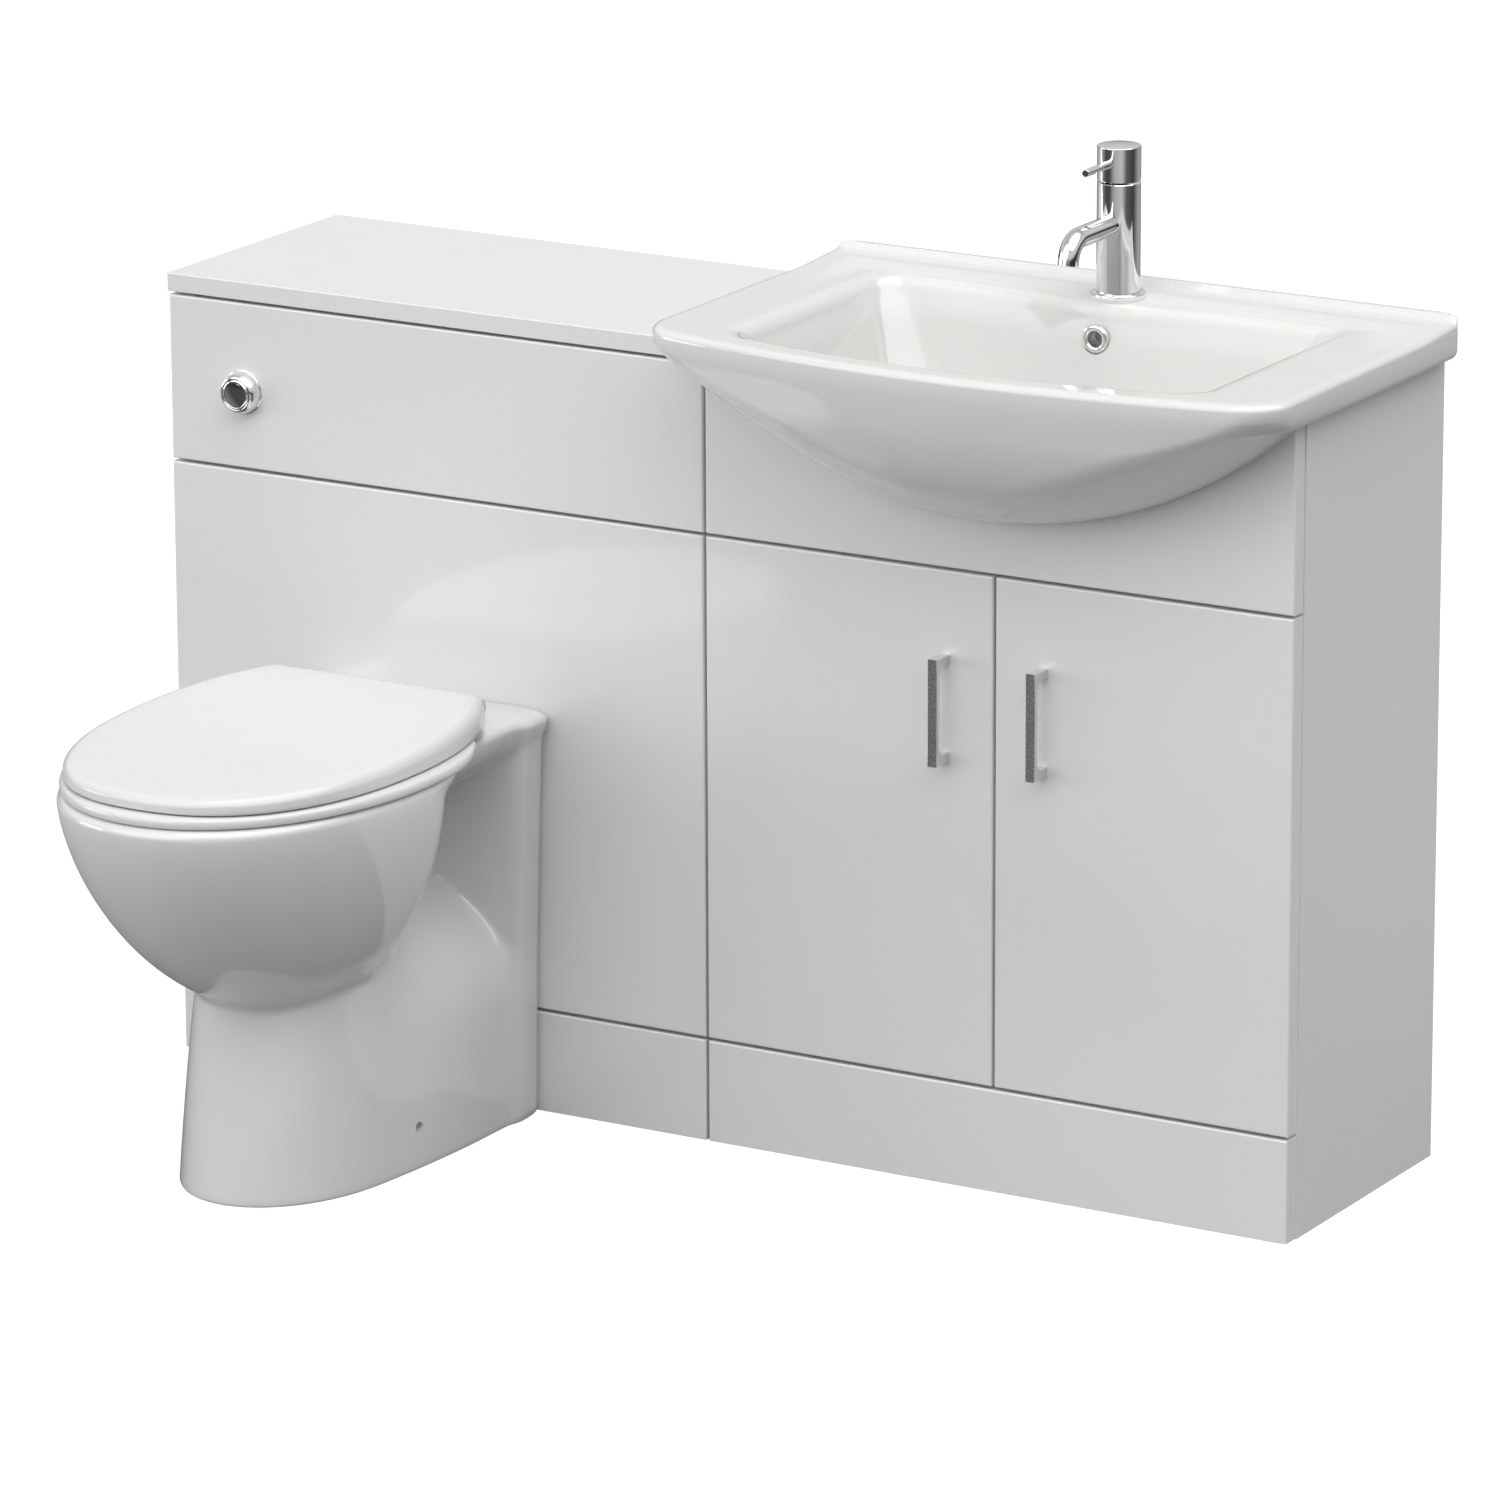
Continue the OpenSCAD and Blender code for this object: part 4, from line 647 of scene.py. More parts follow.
def fall(u):
    """Share of the full width left at depth u: (1 - u^1.6)^(1/2.03)."""
    return np.clip(1 - np.clip(u, 0, 1) ** 1.6, 0, 1) ** (1 / 2.03)


# %% [markdown]
# The bowl narrows downwards, the flat top and the deck lean in under their
# edge, the column tapers, the hump shrinks to a ridge, and the wall block
# stays upright. The widths of the fillets between them are the last argument
# of each blend.

# %% The pan's forms joined
BOWL_Y, HALF_BOWL, BOWL_FRONT = -280, 170, 249.8


def outside(x, y, z, o):
    """The forms joined; o draws the skin inwards."""
    u = np.maximum(0, (393 - z) / 228)
    g = fall(u)
    round_bowl = near(x, y, HALF_BOWL * g, 21 * u + BOWL_Y, BOWL_FRONT * g,
                      122 * g, 2.15, 2)
    # the top and the deck lean in below the edge, by 130 mm over 90 mm
    lean = 130 * np.clip((TOP - z) / 90, 0, 1) ** 1.88
    top = near(x, y, np.maximum(HALF_BOWL - lean, 3), BOWL_Y,
               np.maximum(BOWL_FRONT - lean, 3), np.maximum(176 - lean, 3),
               2.15, 2)
    deck = near(x, y, np.maximum(125 - lean, 3), -110, 110, REAR, 3, 14)
    deck = np.where(y < -240, OFF, deck)
    plate = np.where(z < 315, OFF, blend(top, deck, 26))
    t = z / TOP
    column = near(x, y, 112 * (0.9 - 0.1 * t - 0.32 * t * t), -250,
                  141 - 62 * t, 150 - 90 * t, 2, 2.4)
    c = np.clip((t - 0.255) / 0.335, 0, 1)
    hump = near(x, y, mix(112, 30, c ** 3), -110, 190 - 150 * t, REAR,
                2.2, 8)
    block = near(x, y, mix(111, 125, t), -BLOCK / 2 - 0.3, BLOCK / 2,
                 BLOCK / 2, 5, 9)
    upper = blend(round_bowl, plate,
                  np.maximum(0.5, np.minimum(14, (TOP - z) / 4)))
    lower = blend(blend(column, hump, 30), block, 12)
    return o + blend(upper, lower, 14)


print("depth inside the column:", round(-float(outside(
    np.array(0.0), np.array(-250.0), np.array(100.0), 0.0)), 1), "mm")

# %% [markdown]
# The rays lie closest where the recess meets the wall block, because the skin
# turns sharply there.

# %% Rays round the pan
FAN_Y = -235
# Each ray is [y where it starts, angle]; half of them, then the mirror image.
along = FAN_Y + np.concatenate([
    np.linspace(0, 76, 20)[:-1], np.linspace(76, 180, 17)[:-1],
    185 + 5 * np.linspace(-1, 1, 17)[:-1], np.linspace(190, 208, 6)])
round_back = np.radians(np.concatenate([
    [0, 4, 7], np.arange(8.5, 15, 1.0), [16, 18, 21, 26, 34, 45, 60, 75]]))
half = np.concatenate([np.stack([along, 0 * along], 1),
                       np.stack([0 * round_back - BLOCK / 2, round_back], 1)])
front = np.linspace(np.pi, 2 * np.pi, 121)[:-1]
rays = np.concatenate([
    half, [[-BLOCK / 2, np.pi / 2]], (half * [1, -1] + [0, np.pi])[:0:-1],
    np.stack([0 * front + FAN_Y, front], 1)])
start, cos_r, sin_r = rays[:, 0], np.cos(rays[:, 1]), np.sin(rays[:, 1])
# the angle about the bowl at which each ray ends, for the rings inside
run = np.minimum(130 / np.maximum(np.abs(cos_r), 1e-3),
                 BLOCK / 2 / np.maximum(sin_r, 1e-3))
fan = np.where(rays[:, 1] > np.pi, rays[:, 1],
               np.arctan2(start - FAN_Y + sin_r * run, cos_r * run))
cos_f, sin_f = np.cos(fan), np.sin(fan)
print(len(rays), "rays round the pan")


# %% Skin and inside of the pan
def skin(z, o):
    """Rings of the outside at heights z, drawn inwards by o: the first
    negative step of 4 mm along each ray from outside, then halved 26 times."""
    z, o = np.asarray(z, float)[:, None], np.asarray(o, float)[:, None]
    z, o = z + 0 * cos_r, o + 0 * cos_r
    steps = 345.0 - 4.0 * np.arange(86)
    r = steps[:, None, None]
    hit = outside(cos_r * r, start + sin_r * r, z[None], o[None]) < 0
    low = np.where(hit.any(0), steps[hit.argmax(0)], 1)
    high = low + 4
    for _ in range(26):
        mid = (low + high) / 2
        inner = outside(cos_r * mid, start + sin_r * mid, z, o) < 0
        low, high = np.where(inner, mid, low), np.where(inner, high, mid)
    y = np.minimum(start + sin_r * low, -0.3 - o / 2)
    return np.stack([PAN_X + cos_r * low, y, z], -1)


def pot(z, a, ym, bf, bb, nf, nb):
    """A super ellipse ring at the same angles, for the inside of the pan."""
    e = np.where(sin_f > 0, nb, nf)
    return np.stack([
        PAN_X + a * np.sign(cos_f) * np.abs(cos_f) ** (2 / e),
        ym + np.where(sin_f > 0, bb, bf) * np.sign(sin_f)
        * np.abs(sin_f) ** (2 / e), z + 0 * fan], -1)


def cavity(u):
    """Inside of the bowl at depth share u."""
    g = fall(np.float64(u))
    return pot(TOP - 205 * u, 144 * g, -292 + 40 * u, 212 * g, 102 * g, 2.1,
               2.2)


def hollow(z, o):
    """Inside of the foot, open to the floor."""
    return pot(z, 104.2 - o, -150, 231 - o, 112 - o, 2.4, 6)


print("the inside's rings:", cavity(0.5).shape[0], "points each")

# %% [markdown]
# The skin's levels lie closest where the recess closes under the deck. The
# lowest two are drawn in a little, as cast ceramic is where it meets the
# floor, and the uppermost ones turn over the edge. Then the surface goes on
# over the flat top, under the edge and down into the bowl, and below it runs
# up into the hollow foot.

# %% Pan surface
levels = np.concatenate([[0, 1, 2.5], np.arange(8, 120, 9.0),
                         np.arange(120, 312, 3.0), np.arange(312, 342, 2.0),
                         np.arange(342, 394, 3.0)])
drawn_in = np.concatenate([[1.0, 0.3], 0 * levels[2:]])
turned = np.linspace(0, np.pi / 2, 11)
wall = skin(np.concatenate([levels, 394 + 9 * np.sin(turned)]),
            np.concatenate([drawn_in, 7.5 * (1 - np.cos(turned))]))
under = np.array([hollow(160, 44), hollow(130, 20), hollow(60, 14),
                  hollow(0, 14)])
shelf = pot(TOP, 128, -292, 198, 86, 2.1, 2.2)
land = np.array([mix(wall[-1], shelf, t) for t in (0.25, 0.5, 0.75)])
within = flow([shelf, pot(398, 124, -292, 194, 82, 2.1, 2.2),
               pot(391, 126, -292, 196, 84, 2.1, 2.2),
               pot(385, 142, -292, 210, 98, 2.1, 2.2),
               *[cavity(u) for u in (0.16, 0.28, 0.42, 0.57, 0.72, 0.85,
                                     0.95)]], 4)
rings = np.concatenate([under, wall, land, within])
print(len(rings), "levels of the pan")

# %% [markdown]
# The outlet is a short turned bar that overlaps the pan's rear. Both holes for
# the fixing screws are cut through the foot's sides from within.

# %% Pan piece
pan = piece("pan_ceramic", [
    shell(rings, (PAN_X, -150, 166), (PAN_X, -252, 198)),
    lathe(rod(51, -20, 45), (PAN_X, 0, 180), "y")],
    "unit", ["pan"], sharp=70)
cut(pan, [lathe(rod(5.5, 40, 150), (PAN_X, -205, 40), axis, 40)
          for axis in ("-x", "x")])


# %% [markdown]
# ## Seat and lid
# Both are moulded and follow the pan's egg, one outline with different
# exponents in front and behind. The seat is a flat ring with round edges, a
# little wider than the lid. The lid is a shallow shell that is cut straight
# behind and climbs towards its hinge. It is round over its upper edge, so that
# a band of light runs round it, and a short skirt at each rear corner hides
# the hinge.

# %% Egg outlines
EGG_POINTS = 288


def egg(z, a, bf, bb, nf, nb):
    """x = a sign(c)|c|^(2/e), y = middle + b sign(s)|s|^(2/e), with b and e
    being bf and nf in front and bb and nb behind."""
    t = np.linspace(0, 2 * np.pi, EGG_POINTS, endpoint=False)
    c, s = np.cos(t), np.sin(t)
    e = np.where(s > 0, nb, nf)
    u = np.sign(s) * np.abs(s) ** (2 / e)
    w = np.sign(c) * np.abs(c) ** (2 / e)
    return np.stack([PAN_X + a * w, BOWL_Y + np.where(s > 0, bb, bf) * u,
                     z + 0 * t], 1)


def seat_egg(z, o):
    """The seat's outer edge, drawn in by o."""
    return egg(z, 172.5 - o, 245.5 - o, 188 - o, 2.08, 2.4)


def hole_egg(z, o):
    """The seat's hole, widened by o."""
    return egg(z, 109 + o, 183 + o, 92 + o, 2.1, 2.3)


def lid_top(y):
    """The lid's upper face climbs by 3 in 100 towards the hinge."""
    return 430.0 + 0.03 * (y + 515)


def lid_egg(share, o, deep=0.0):
    """The lid's edge, drawn in by o: an egg cut straight behind, its corners
    rounded by a soft minimum. share runs from the lower edge, 0, to the upper
    face, 1; the lower edge drops by 10.5 mm in a skirt at each rear corner,
    and deep sets a ring lower by that many millimetres."""
    ring = egg(0, 162 - o, 234 - o, 265 - o, 2.35, 2)
    x, y = ring[:, 0] - PAN_X, ring[:, 1]
    y = blend(y, -99 - o, 6)
    skirt = smooth((np.abs(x) - 100 + o) / 9) * smooth((y + 136 + o) / 14)
    low = 415.3 - 10.5 * skirt
    return np.stack([PAN_X + x, y, mix(low, lid_top(y), share) - deep], 1)


print("the lid climbs by", round(lid_top(-99) - lid_top(-514), 1), "mm")

# %% [markdown]
# Seat and lid turn on the same pins. Each has two hinge eyes, short round
# bars on the hinge's axis, and an arm joins each eye to its part.

# %% Hinge eyes
HINGE_Y, HINGE_Z, EYE, HALF_EYE = -76, 419, 8, 6.5


def slab(x0, x1, y0, y1, z0, z1):
    """A plain block, as one ring of corners at each end."""
    ring = np.array([[x0, y0], [x1, y0], [x1, y1], [x0, y1]], float)
    made = np.array([np.c_[ring, np.full(4, z)] for z in (z0, z1)])
    return shell(made, made[0].mean(0), made[1].mean(0))


def hinges(off, front_y, low, high):
    """Eye and arm at both sides, off from the middle of the pan. The arm
    runs from front_y to the axis, between the heights low and high."""
    made = []
    for x in (PAN_X - off, PAN_X + off):
        made.append(lathe(rod(EYE, x - HALF_EYE, x + HALF_EYE),
                          (0, HINGE_Y, HINGE_Z), "x", 48))
        made.append(slab(x - HALF_EYE, x + HALF_EYE, front_y, HINGE_Y, low,
                         high))
    return made


print("hinge axis at y", HINGE_Y, "and height", HINGE_Z)

# %% Seat piece
outer = flow([seat_egg(406, 14), seat_egg(404.6, 9), seat_egg(403.5, 5),
              seat_egg(403.7, 2.2), seat_egg(405, 0.4), seat_egg(408, 0),
              seat_egg(411.3, 0.7), seat_egg(413.2, 2.8), seat_egg(414, 6.5)],
             4)
inner = flow([hole_egg(414, 8), hole_egg(412, 2), hole_egg(408, 0),
              hole_egg(406, 1.5)], 4)
seat = piece("seat_ring", [shell(np.concatenate([outer, inner]), closed=True),
                           *hinges(93, -128, 406, 412.5)],
             "seat", ["seat"])

# %% [markdown]
# The lid's surface starts under its shell, turns round the lower edge, climbs
# the side, turns over the upper edge and ends in the middle of the top, which
# is crowned by half a millimetre.

# %% Lid piece
edge_rings = flow([lid_egg(0, 2.5), lid_egg(0.04, 0.9), lid_egg(0.2, 0),
                   lid_egg(0.5, 0.3), lid_egg(0.75, 2.2), lid_egg(0.91, 5.4),
                   lid_egg(0.98, 9), lid_egg(1, 13)], 5)
centre = [PAN_X, -290, lid_top(-290)]
top = np.array([mix(lid_egg(1, 13), centre, t) + [0, 0, 0.5 * smooth(t)]
                for t in (0.08, 0.2, 0.4, 0.6, 0.8)])
under = flow([lid_egg(1, 20, 5), lid_egg(1, 15, 7), lid_egg(0.3, 10.5),
              lid_egg(0, 9)], 2)
lid = piece("lid_shell", [shell(np.concatenate([under, edge_rings, top]),
                                np.add(centre, [0, 0, -5]),
                                np.add(centre, [0, 0, 0.5])),
                          *hinges(57, -105, 417, 426.5)],
            "lid", ["lid"])


# %% [markdown]
# ## The mixer tap
# The tap is chrome on turned brass: a flange, an upright barrel, a spout that
# leaves it level and bends down at its end, and a head with a thin lever. A
# shadow gap parts head and barrel, because the head turns and tilts. Both are
# hollow where they meet, so that the stem between them has room.

# %% Tap flange and barrel
TAP_X, TAP_Y, _ = TAP
BARREL = 20.75
flange = piece("tap_flange_ring", [lathe(
    [[17.75, 816], [26, 816], [26, 816.8], *bevel(26, 816.8, 25.8, 818.2,
                                                 23.8, 818.4),
     [17.75, 818.4]], TAP)], "unit", ["tap_flange"])
barrel = lathe([[0, 838], [12.1, 838], [12.1, 818.4], [20.4, 818.4],
                [BARREL, 818.8], [BARREL, 922.4], [20.2, 923], [8.1, 923],
                [8.1, 911], [0, 911]], TAP, n=128)
# the spout's height, its straight reach, the radius and angle of its bend,
# and the radius of the bar
SPOUT_Z, STRAIGHT, BEND, DOWN, BAR = 884, 78, 21, 80, 10.0
bend = np.radians(np.linspace(0, DOWN, 28))
line = np.concatenate([
    [[TAP_X, TAP_Y, SPOUT_Z], [TAP_X, 200, SPOUT_Z]],
    np.stack([TAP_X + 0 * bend, TAP_Y - STRAIGHT - BEND * np.sin(bend),
              SPOUT_Z - BEND + BEND * np.cos(bend)], 1)])
onward = np.array([0, -math.cos(math.radians(DOWN)),
                   -math.sin(math.radians(DOWN))])
line = np.concatenate([line, [line[-1] + onward * 2.5,
                              line[-1] + onward * 5]])
body = piece("tap_barrel", [barrel, tube(line, BAR)], "unit",
             ["tap_body"])

# %% Tap head and lever
HEAD_LOW, HEAD_TOP, LEVER_Z, LEVER = 924.5, 957.5, 942.5, 3.75
head, faces = lathe([[0, 947.5], [16, 947.5], [16, HEAD_LOW],
                     [20.3, HEAD_LOW], [BARREL, 925], [BARREL, 956.4],
                     *bevel(BARREL, 956.4, BARREL, HEAD_TOP, 19.6, HEAD_TOP),
                     [0, HEAD_TOP]], TAP, n=128)
# the rear of its lower edge rises by 17 degrees, so that the head can tilt
rise = HEAD_LOW + (head[:, 1] - (TAP_Y + 1)) * math.tan(math.radians(17))
head[:, 2] = np.maximum(head[:, 2], rise)
lever = lathe([[0, 17.5], [LEVER, 17.5], [LEVER, 66.05], *bevel(
    LEVER, 66.05, LEVER, 66.75, 3.05, 66.75), [0, 66.75]],
    (TAP_X, TAP_Y, LEVER_Z), "-y", 48)
tap_head = piece("tap_head_lever", [(head, faces), lever], "tap_head",
                 ["tap_head"])

# %% [markdown]
# ## Flush button, overflow and handles
# The flush button is a round chrome bead that stands proud of its fascia, with
# a separate domed button in the middle: both are turned. The overflow is a
# small chrome ring round a dark hole. Each handle is a flat bar on two posts,
# one closed path with a rectangular section, its inner corners rounded and
# every edge broken by half a millimetre so that it catches the light.

# %% Button and overflow
BUTTON = (85, 0, 673.75)
a = np.radians(np.arange(0, 91, 5.0))
dome = np.stack([mix(15.65, 20.7, np.cos(a)), mix(1.2, 14, np.sin(a))], 1)
bezel = piece("button_ring", [lathe(
    [[15.05, -30], [19, -30], [19, 0], [21.5, 0], [21.5, 0.8], *dome.tolist(),
     *bevel(15.65, 14, 15.1, 13.95, 15.05, 13.5, 4)], BUTTON, "-y", 128)],
    "unit", ["button_bezel"])
k = np.linspace(1, 0, 12)
face = np.stack([12.6 * k, 14.2 + 1.2 * (1 - k ** 2)], 1)
button = piece("button_face", [lathe(
    [[0, -16], [15, -16], [15, 12.6], *bevel(15, 12.6, 14.6, 14.3, 13.2, 14.6),
     *bevel(13.2, 14.6, 12.9, 14.6, 12.7, 14.25, 4), *face.tolist()],
    BUTTON, "-y", 128)], "push_button", ["push_button"])
a = np.radians(np.arange(0, 181, 12.0))
rolled = np.stack([10.6 - 3.1 * np.cos(a), 1.4 - 1.9 * np.sin(a)], 1)
overflow = piece("overflow_trim", [lathe(
    [[7.5, 15.5], *rolled.tolist(), [13.7, 3.8], [8.8, 3.8], [8.8, 15.5]],
    OVERFLOW, "y", 96)], "unit", ["overflow_ring"])

# %% Handles
# a handle's lower and upper end, its width, how far it stands out, the
# thickness of its bar and of its posts, and its broken edge
LOW, HIGH, WIDE, STAND_OUT = 413.0, 516.0, 9.5, 25.0
THICK, POST, BROKEN = 6.0, 9.0, 0.5


def grip(x):
    """Stations (outer, inner) along post, bar and post; the inner corner is
    an arc of radius POST, the outer one stays square; each station becomes a
    ring of eight points, a rectangle with broken edges. The upper half is
    the lower one mirrored."""
    a = np.linspace(0, np.pi / 2, 13)
    y0 = THICK + POST - STAND_OUT
    inner = np.stack([y0 - POST * np.sin(a), LOW + 2 * POST
                      - POST * np.cos(a)], 1)
    half = np.linspace(0, 1, 7)
    outer = np.concatenate([
        np.stack([mix(y0, -STAND_OUT, half), LOW + 0 * half], 1),
        np.stack([-STAND_OUT + 0 * half[1:],
                  mix(LOW, LOW + 2 * POST, half[1:])], 1)])
    inner = np.concatenate([[[0, LOW + POST]], inner])
    outer = np.concatenate([[[0, LOW]], outer])
    base, turn = np.array([0, LOW + HIGH]), np.array([1, -1])
    inner = np.concatenate([inner, (base + turn * inner)[::-1]])
    outer = np.concatenate([outer, (base + turn * outer)[::-1]])
    u = (inner - outer) / np.linalg.norm(inner - outer, axis=1)[:, None]
    c, w = BROKEN, WIDE / 2
    spots = [(w, outer + c * u), (w - c, outer), (c - w, outer),
             (-w, outer + c * u), (-w, inner - c * u), (c - w, inner),
             (w - c, inner), (w, inner - c * u)]
    rings = np.stack([np.column_stack([np.full(len(p), x + dx), p])
                      for dx, p in spots], 1)
    return shell(rings, rings[0].mean(0), rings[-1].mean(0))


grips = [piece(f"grip_{side}", [grip(x)], f"door_{side}",
               [f"handle_{side}"], sharp=25)
         for side, x in (("left", 858.5), ("right", 961.5))]

# %% [markdown]
# ## Finishes
# Nearly everything here is white, yet lacquer, glaze and moulded plastic are
# told apart by how they shine. Lacquered board is flat with a faint ripple,
# glaze is thick and mirror bright with slow waves, plastic is a little softer.
# Each finish is a shader with a slow drift of tone. All but the chrome also
# have a fine bump. All of it is drawn in the object's own coordinates, so the
# pattern stays on the part.

# %% Finish helper
def finish(name, tone, rough, metal=0.0, coat=0.0, drift=0.02, drift_size=9.0,
           ripple=0.0, ripple_size=120.0, grain=None):
    """A Principled shader: tone varied by drift at drift_size per metre,
    roughness varied by 15 in 100 either way, a bump of height ripple in
    millimetres at ripple_size per metre. grain scales the bump's pattern
    along x, y and z."""
    mat = bpy.data.materials.new(name)
    mat.use_nodes = True
    tree = mat.node_tree
    shader = tree.nodes["Principled BSDF"]
    shader.inputs["Metallic"].default_value = metal
    shader.inputs["Coat Weight"].default_value = coat
    shader.inputs["Coat Roughness"].default_value = 0.03
    where = add(tree, "ShaderNodeTexCoord").outputs["Object"]
    slow = add(tree, "ShaderNodeTexNoise", {"Scale": drift_size,
                                            "Detail": 3.0})
    wire(where, slow.inputs["Vector"])
    tone = np.array(tone)
    colour = ramp(tree, slow.outputs["Fac"],
                  [(0.35, tuple(tone * (1 - drift))), (0.65, tuple(tone))])
    wire(colour, shader.inputs["Base Color"])
    worn = add(tree, "ShaderNodeMapRange", {"To Min": rough * 0.85,
                                            "To Max": rough * 1.15})
    wire(slow.outputs["Fac"], worn.inputs["Value"])
    wire(worn.outputs[0], shader.inputs["Roughness"])
    if ripple:
        fine = add(tree, "ShaderNodeTexNoise", {"Scale": ripple_size,
                                                "Detail": 2.0})
        if grain:
            stretch = add(tree, "ShaderNodeMapping", {"Scale": grain})
            wire(where, stretch.inputs["Vector"])
            wire(stretch.outputs[0], fine.inputs["Vector"])
        else:
            wire(where, fine.inputs["Vector"])
        bump = add(tree, "ShaderNodeBump", {"Distance": ripple / 1000,
                                            "Strength": 1.0})
        wire(fine.outputs["Fac"], bump.inputs["Height"])
        wire(bump.outputs[0], shader.inputs["Normal"])
    print("finish", name, "of", len(tree.nodes), "nodes")
    return mat


# %% [markdown]
# The names on the left are the model's own material slots, with one more for
# the glaze with painted shade inside the basin's bowl. Tones are shares of the
# light sent back: lacquer is the palest, glaze is a little warmer, and the
# seat's plastic is a shade deeper than both.

# %% The finishes
GLAZE = dict(tone=(0.745, 0.74, 0.725), rough=0.05, coat=0.4, drift=0.012,
             drift_size=5, ripple=0.02, ripple_size=40)
finishes = {
    "board": finish("gloss lacquer", (0.80, 0.80, 0.80), 0.10, coat=0.3,
                    drift=0.01, ripple=0.01, ripple_size=180),
    "ceramic": finish("white glaze", **GLAZE),
    # the glaze in the bowl carries painted shade, set further down
    "bowl_glaze_painted_shade": finish("glaze in the bowl, painted shade", **GLAZE),
    "seat_plastic": finish("gloss moulding", (0.71, 0.71, 0.705), 0.12,
                           drift=0.008, ripple=0.005, ripple_size=400),
    "buffer": finish("soft buffer", (0.70, 0.70, 0.69), 0.6, ripple=0.02,
                     ripple_size=900),
    "chrome": finish("polished chrome", (0.80, 0.805, 0.81), 0.05, metal=1.0,
                     drift=0.03, drift_size=30),
    # the handles' tone is set below: painted shade on the face, painted light
    # on the sides
    "handle": finish("brushed steel, painted light and shade", (0.34, 0.34, 0.34), 0.32,
                     metal=1.0, drift=0.25, drift_size=160, ripple=0.02,
                     ripple_size=900, grain=(6, 6, 1)),
    "steel": finish("zinc plate", (0.60, 0.61, 0.62), 0.36, metal=1.0,
                    drift=0.12, drift_size=60, ripple=0.01, ripple_size=500),
    "inner": finish("white pipe plastic", (0.76, 0.76, 0.75), 0.35,
                    drift=0.03, ripple=0.01, ripple_size=300),
    "grey": finish("grey moulding", (0.46, 0.47, 0.48), 0.4, drift=0.04,
                   ripple=0.01, ripple_size=300),
    "seal": finish("black rubber", (0.02, 0.02, 0.02), 0.6, drift=0.2,
                   ripple=0.02, ripple_size=600),
}

# %% [markdown]
# The front of each handle is brushed and mottled, and its sides are plain and
# pale. The two tones are partly painted light. The pale of the sides is
# painted light, as if they were lit. The dark of the face is painted shade, as
# if it mirrored dark surroundings, while the mottle itself is the brushed
# metal's own.
# One finish does both: a test of how far forward a point lies picks the tone.

# %% Handles: mottled face with painted shade, sides with painted light
# in metres: the face lies 25 mm in front of the doors, at y = 0.090
FACE_Y = 0.0904
tree = finishes["handle"].node_tree
shader = tree.nodes["Principled BSDF"]
where = add(tree, "ShaderNodeTexCoord").outputs["Object"]
front = add(tree, "ShaderNodeMath", {1: FACE_Y}, operation="LESS_THAN")
wire(split(tree, where)["Y"], front.inputs[0])
speckle = add(tree, "ShaderNodeTexNoise", {"Scale": 700.0, "Detail": 4.0})
wire(where, speckle.inputs["Vector"])
# the mottle is the brushed face's own; its dark tones are painted shade
mottle_and_painted_shade = ramp(tree, speckle.outputs["Fac"],
              [(0.38, (0.34, 0.345, 0.35)), (0.62, (0.80, 0.805, 0.81))])
# the pale grey of the sides is painted light
painted_light_and_shade = add(tree, "ShaderNodeMix", {"A": grey(0.72)}, data_type="RGBA")
wire(front.outputs[0], painted_light_and_shade.inputs["Factor"])
wire(mottle_and_painted_shade, painted_light_and_shade.inputs["B"])
wire(painted_light_and_shade.outputs["Result"], shader.inputs["Base Color"])
print("handles: a mottled face and pale sides")

# %% [markdown]
# Light bounces to and fro in a white bowl and would burn it out, so shade is
# painted into the glaze inside the basin's bowl: its tone deepens with the
# depth below the rim.

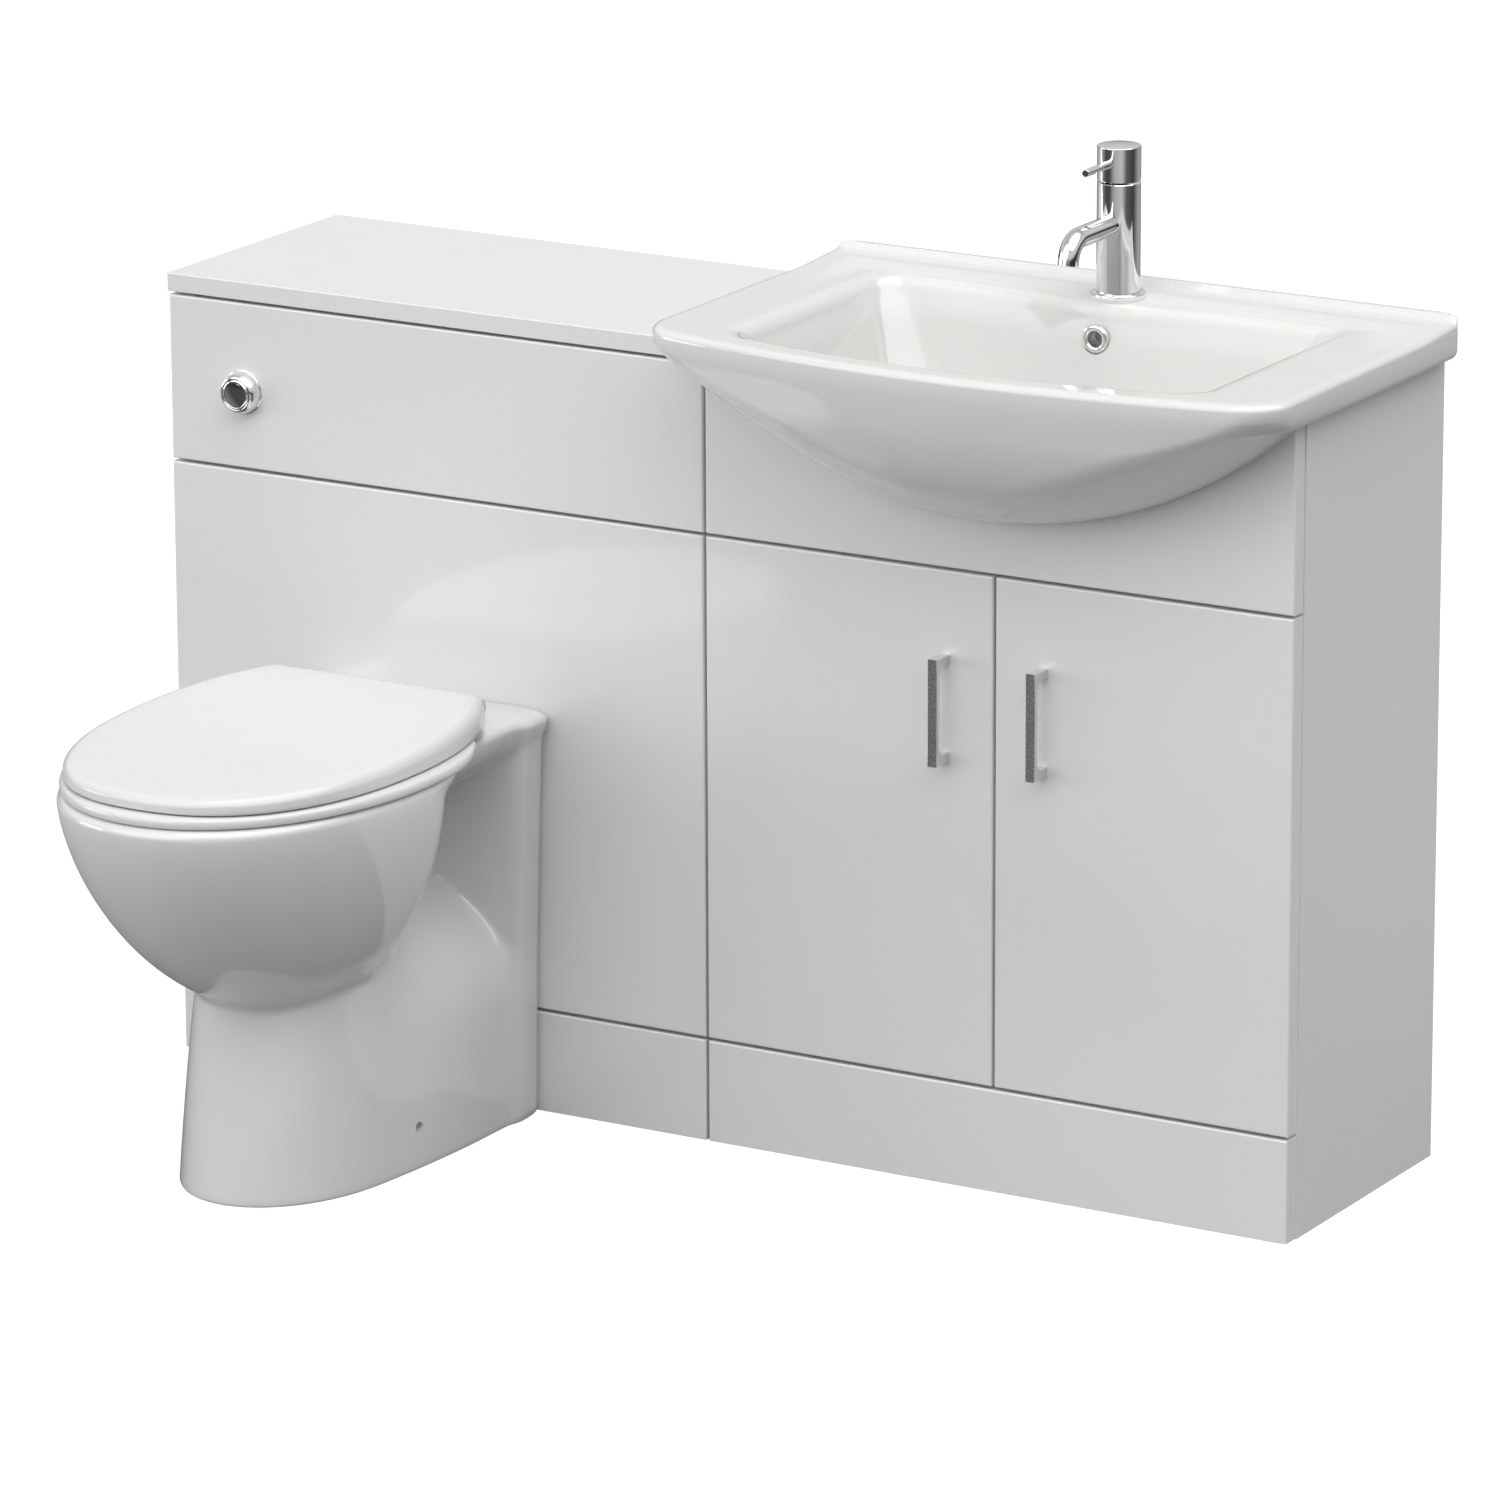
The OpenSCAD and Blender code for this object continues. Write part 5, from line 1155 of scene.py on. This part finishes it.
# %% Painted shade in the bowl's glaze
# in metres: where the painted shade starts, and where it is full
SHADE_TOP, SHADE_FULL = 0.8115, 0.775
tree = finishes["bowl_glaze_painted_shade"].node_tree
shader = tree.nodes["Principled BSDF"]
where = add(tree, "ShaderNodeTexCoord").outputs["Object"]
depth = add(tree, "ShaderNodeMapRange", {"From Min": SHADE_TOP,
                                         "From Max": SHADE_FULL})
wire(split(tree, where)["Z"], depth.inputs["Value"])
# the deeper tone is painted shade
deeper = add(tree, "ShaderNodeMix", {"B": (0.61, 0.605, 0.59, 1)},
             data_type="RGBA")
wire(shader.inputs["Base Color"].links[0].from_socket, deeper.inputs["A"])
wire(depth.outputs[0], deeper.inputs["Factor"])
wire(deeper.outputs["Result"], shader.inputs["Base Color"])
print("bowl glaze of", len(tree.nodes), "nodes")

# %% [markdown]
# Every model part takes the finish of its own material slot from the record,
# and every new piece takes that of the part it stands for.

# %% Give every part its finish
slots = {row["node"]: row["material_slot"]
         for row in frame["record"]["subparts"]}
for name, part in node.items():
    part.data.materials.clear()
    part.data.materials.append(finishes[slots[name]])
for kind, pieces in (("ceramic", (basin, pan)), ("seat_plastic", (seat, lid)),
                     ("chrome", (flange, body, tap_head, bezel, button,
                                 overflow)), ("handle", grips)):
    for made in pieces:
        made.data.materials.clear()
        made.data.materials.append(finishes[kind])
print(len(node), "model parts and the new pieces have finishes")

# %% [markdown]
# A face that looks upwards and lies within the bowl gets the glaze with
# painted shade, and the rest of the basin keeps the plain one.

# %% Faces inside the basin's bowl
# all in metres: the box round the bowl's inside
BOWL_LOW, BOWL_X, BOWL_HALF = 0.686, 0.29, 0.243
BOWL_Y0, BOWL_Y1 = -0.02, 0.345
basin.data.materials.append(finishes["bowl_glaze_painted_shade"])
facing = np.empty(len(basin.data.polygons) * 3)
middle = facing.copy()
basin.data.polygons.foreach_get("normal", facing)
basin.data.polygons.foreach_get("center", middle)
facing, middle = facing.reshape(-1, 3), middle.reshape(-1, 3)
within = ((facing[:, 2] > 0.02) & (middle[:, 2] < SHADE_TOP)
          & (middle[:, 2] > BOWL_LOW)
          & (np.abs(middle[:, 0] - BOWL_X) < BOWL_HALF)
          & (middle[:, 1] > BOWL_Y0) & (middle[:, 1] < BOWL_Y1))
basin.data.polygons.foreach_set("material_index", within.astype(np.int32))
print(within.sum(), "faces of the bowl have the deeper glaze")
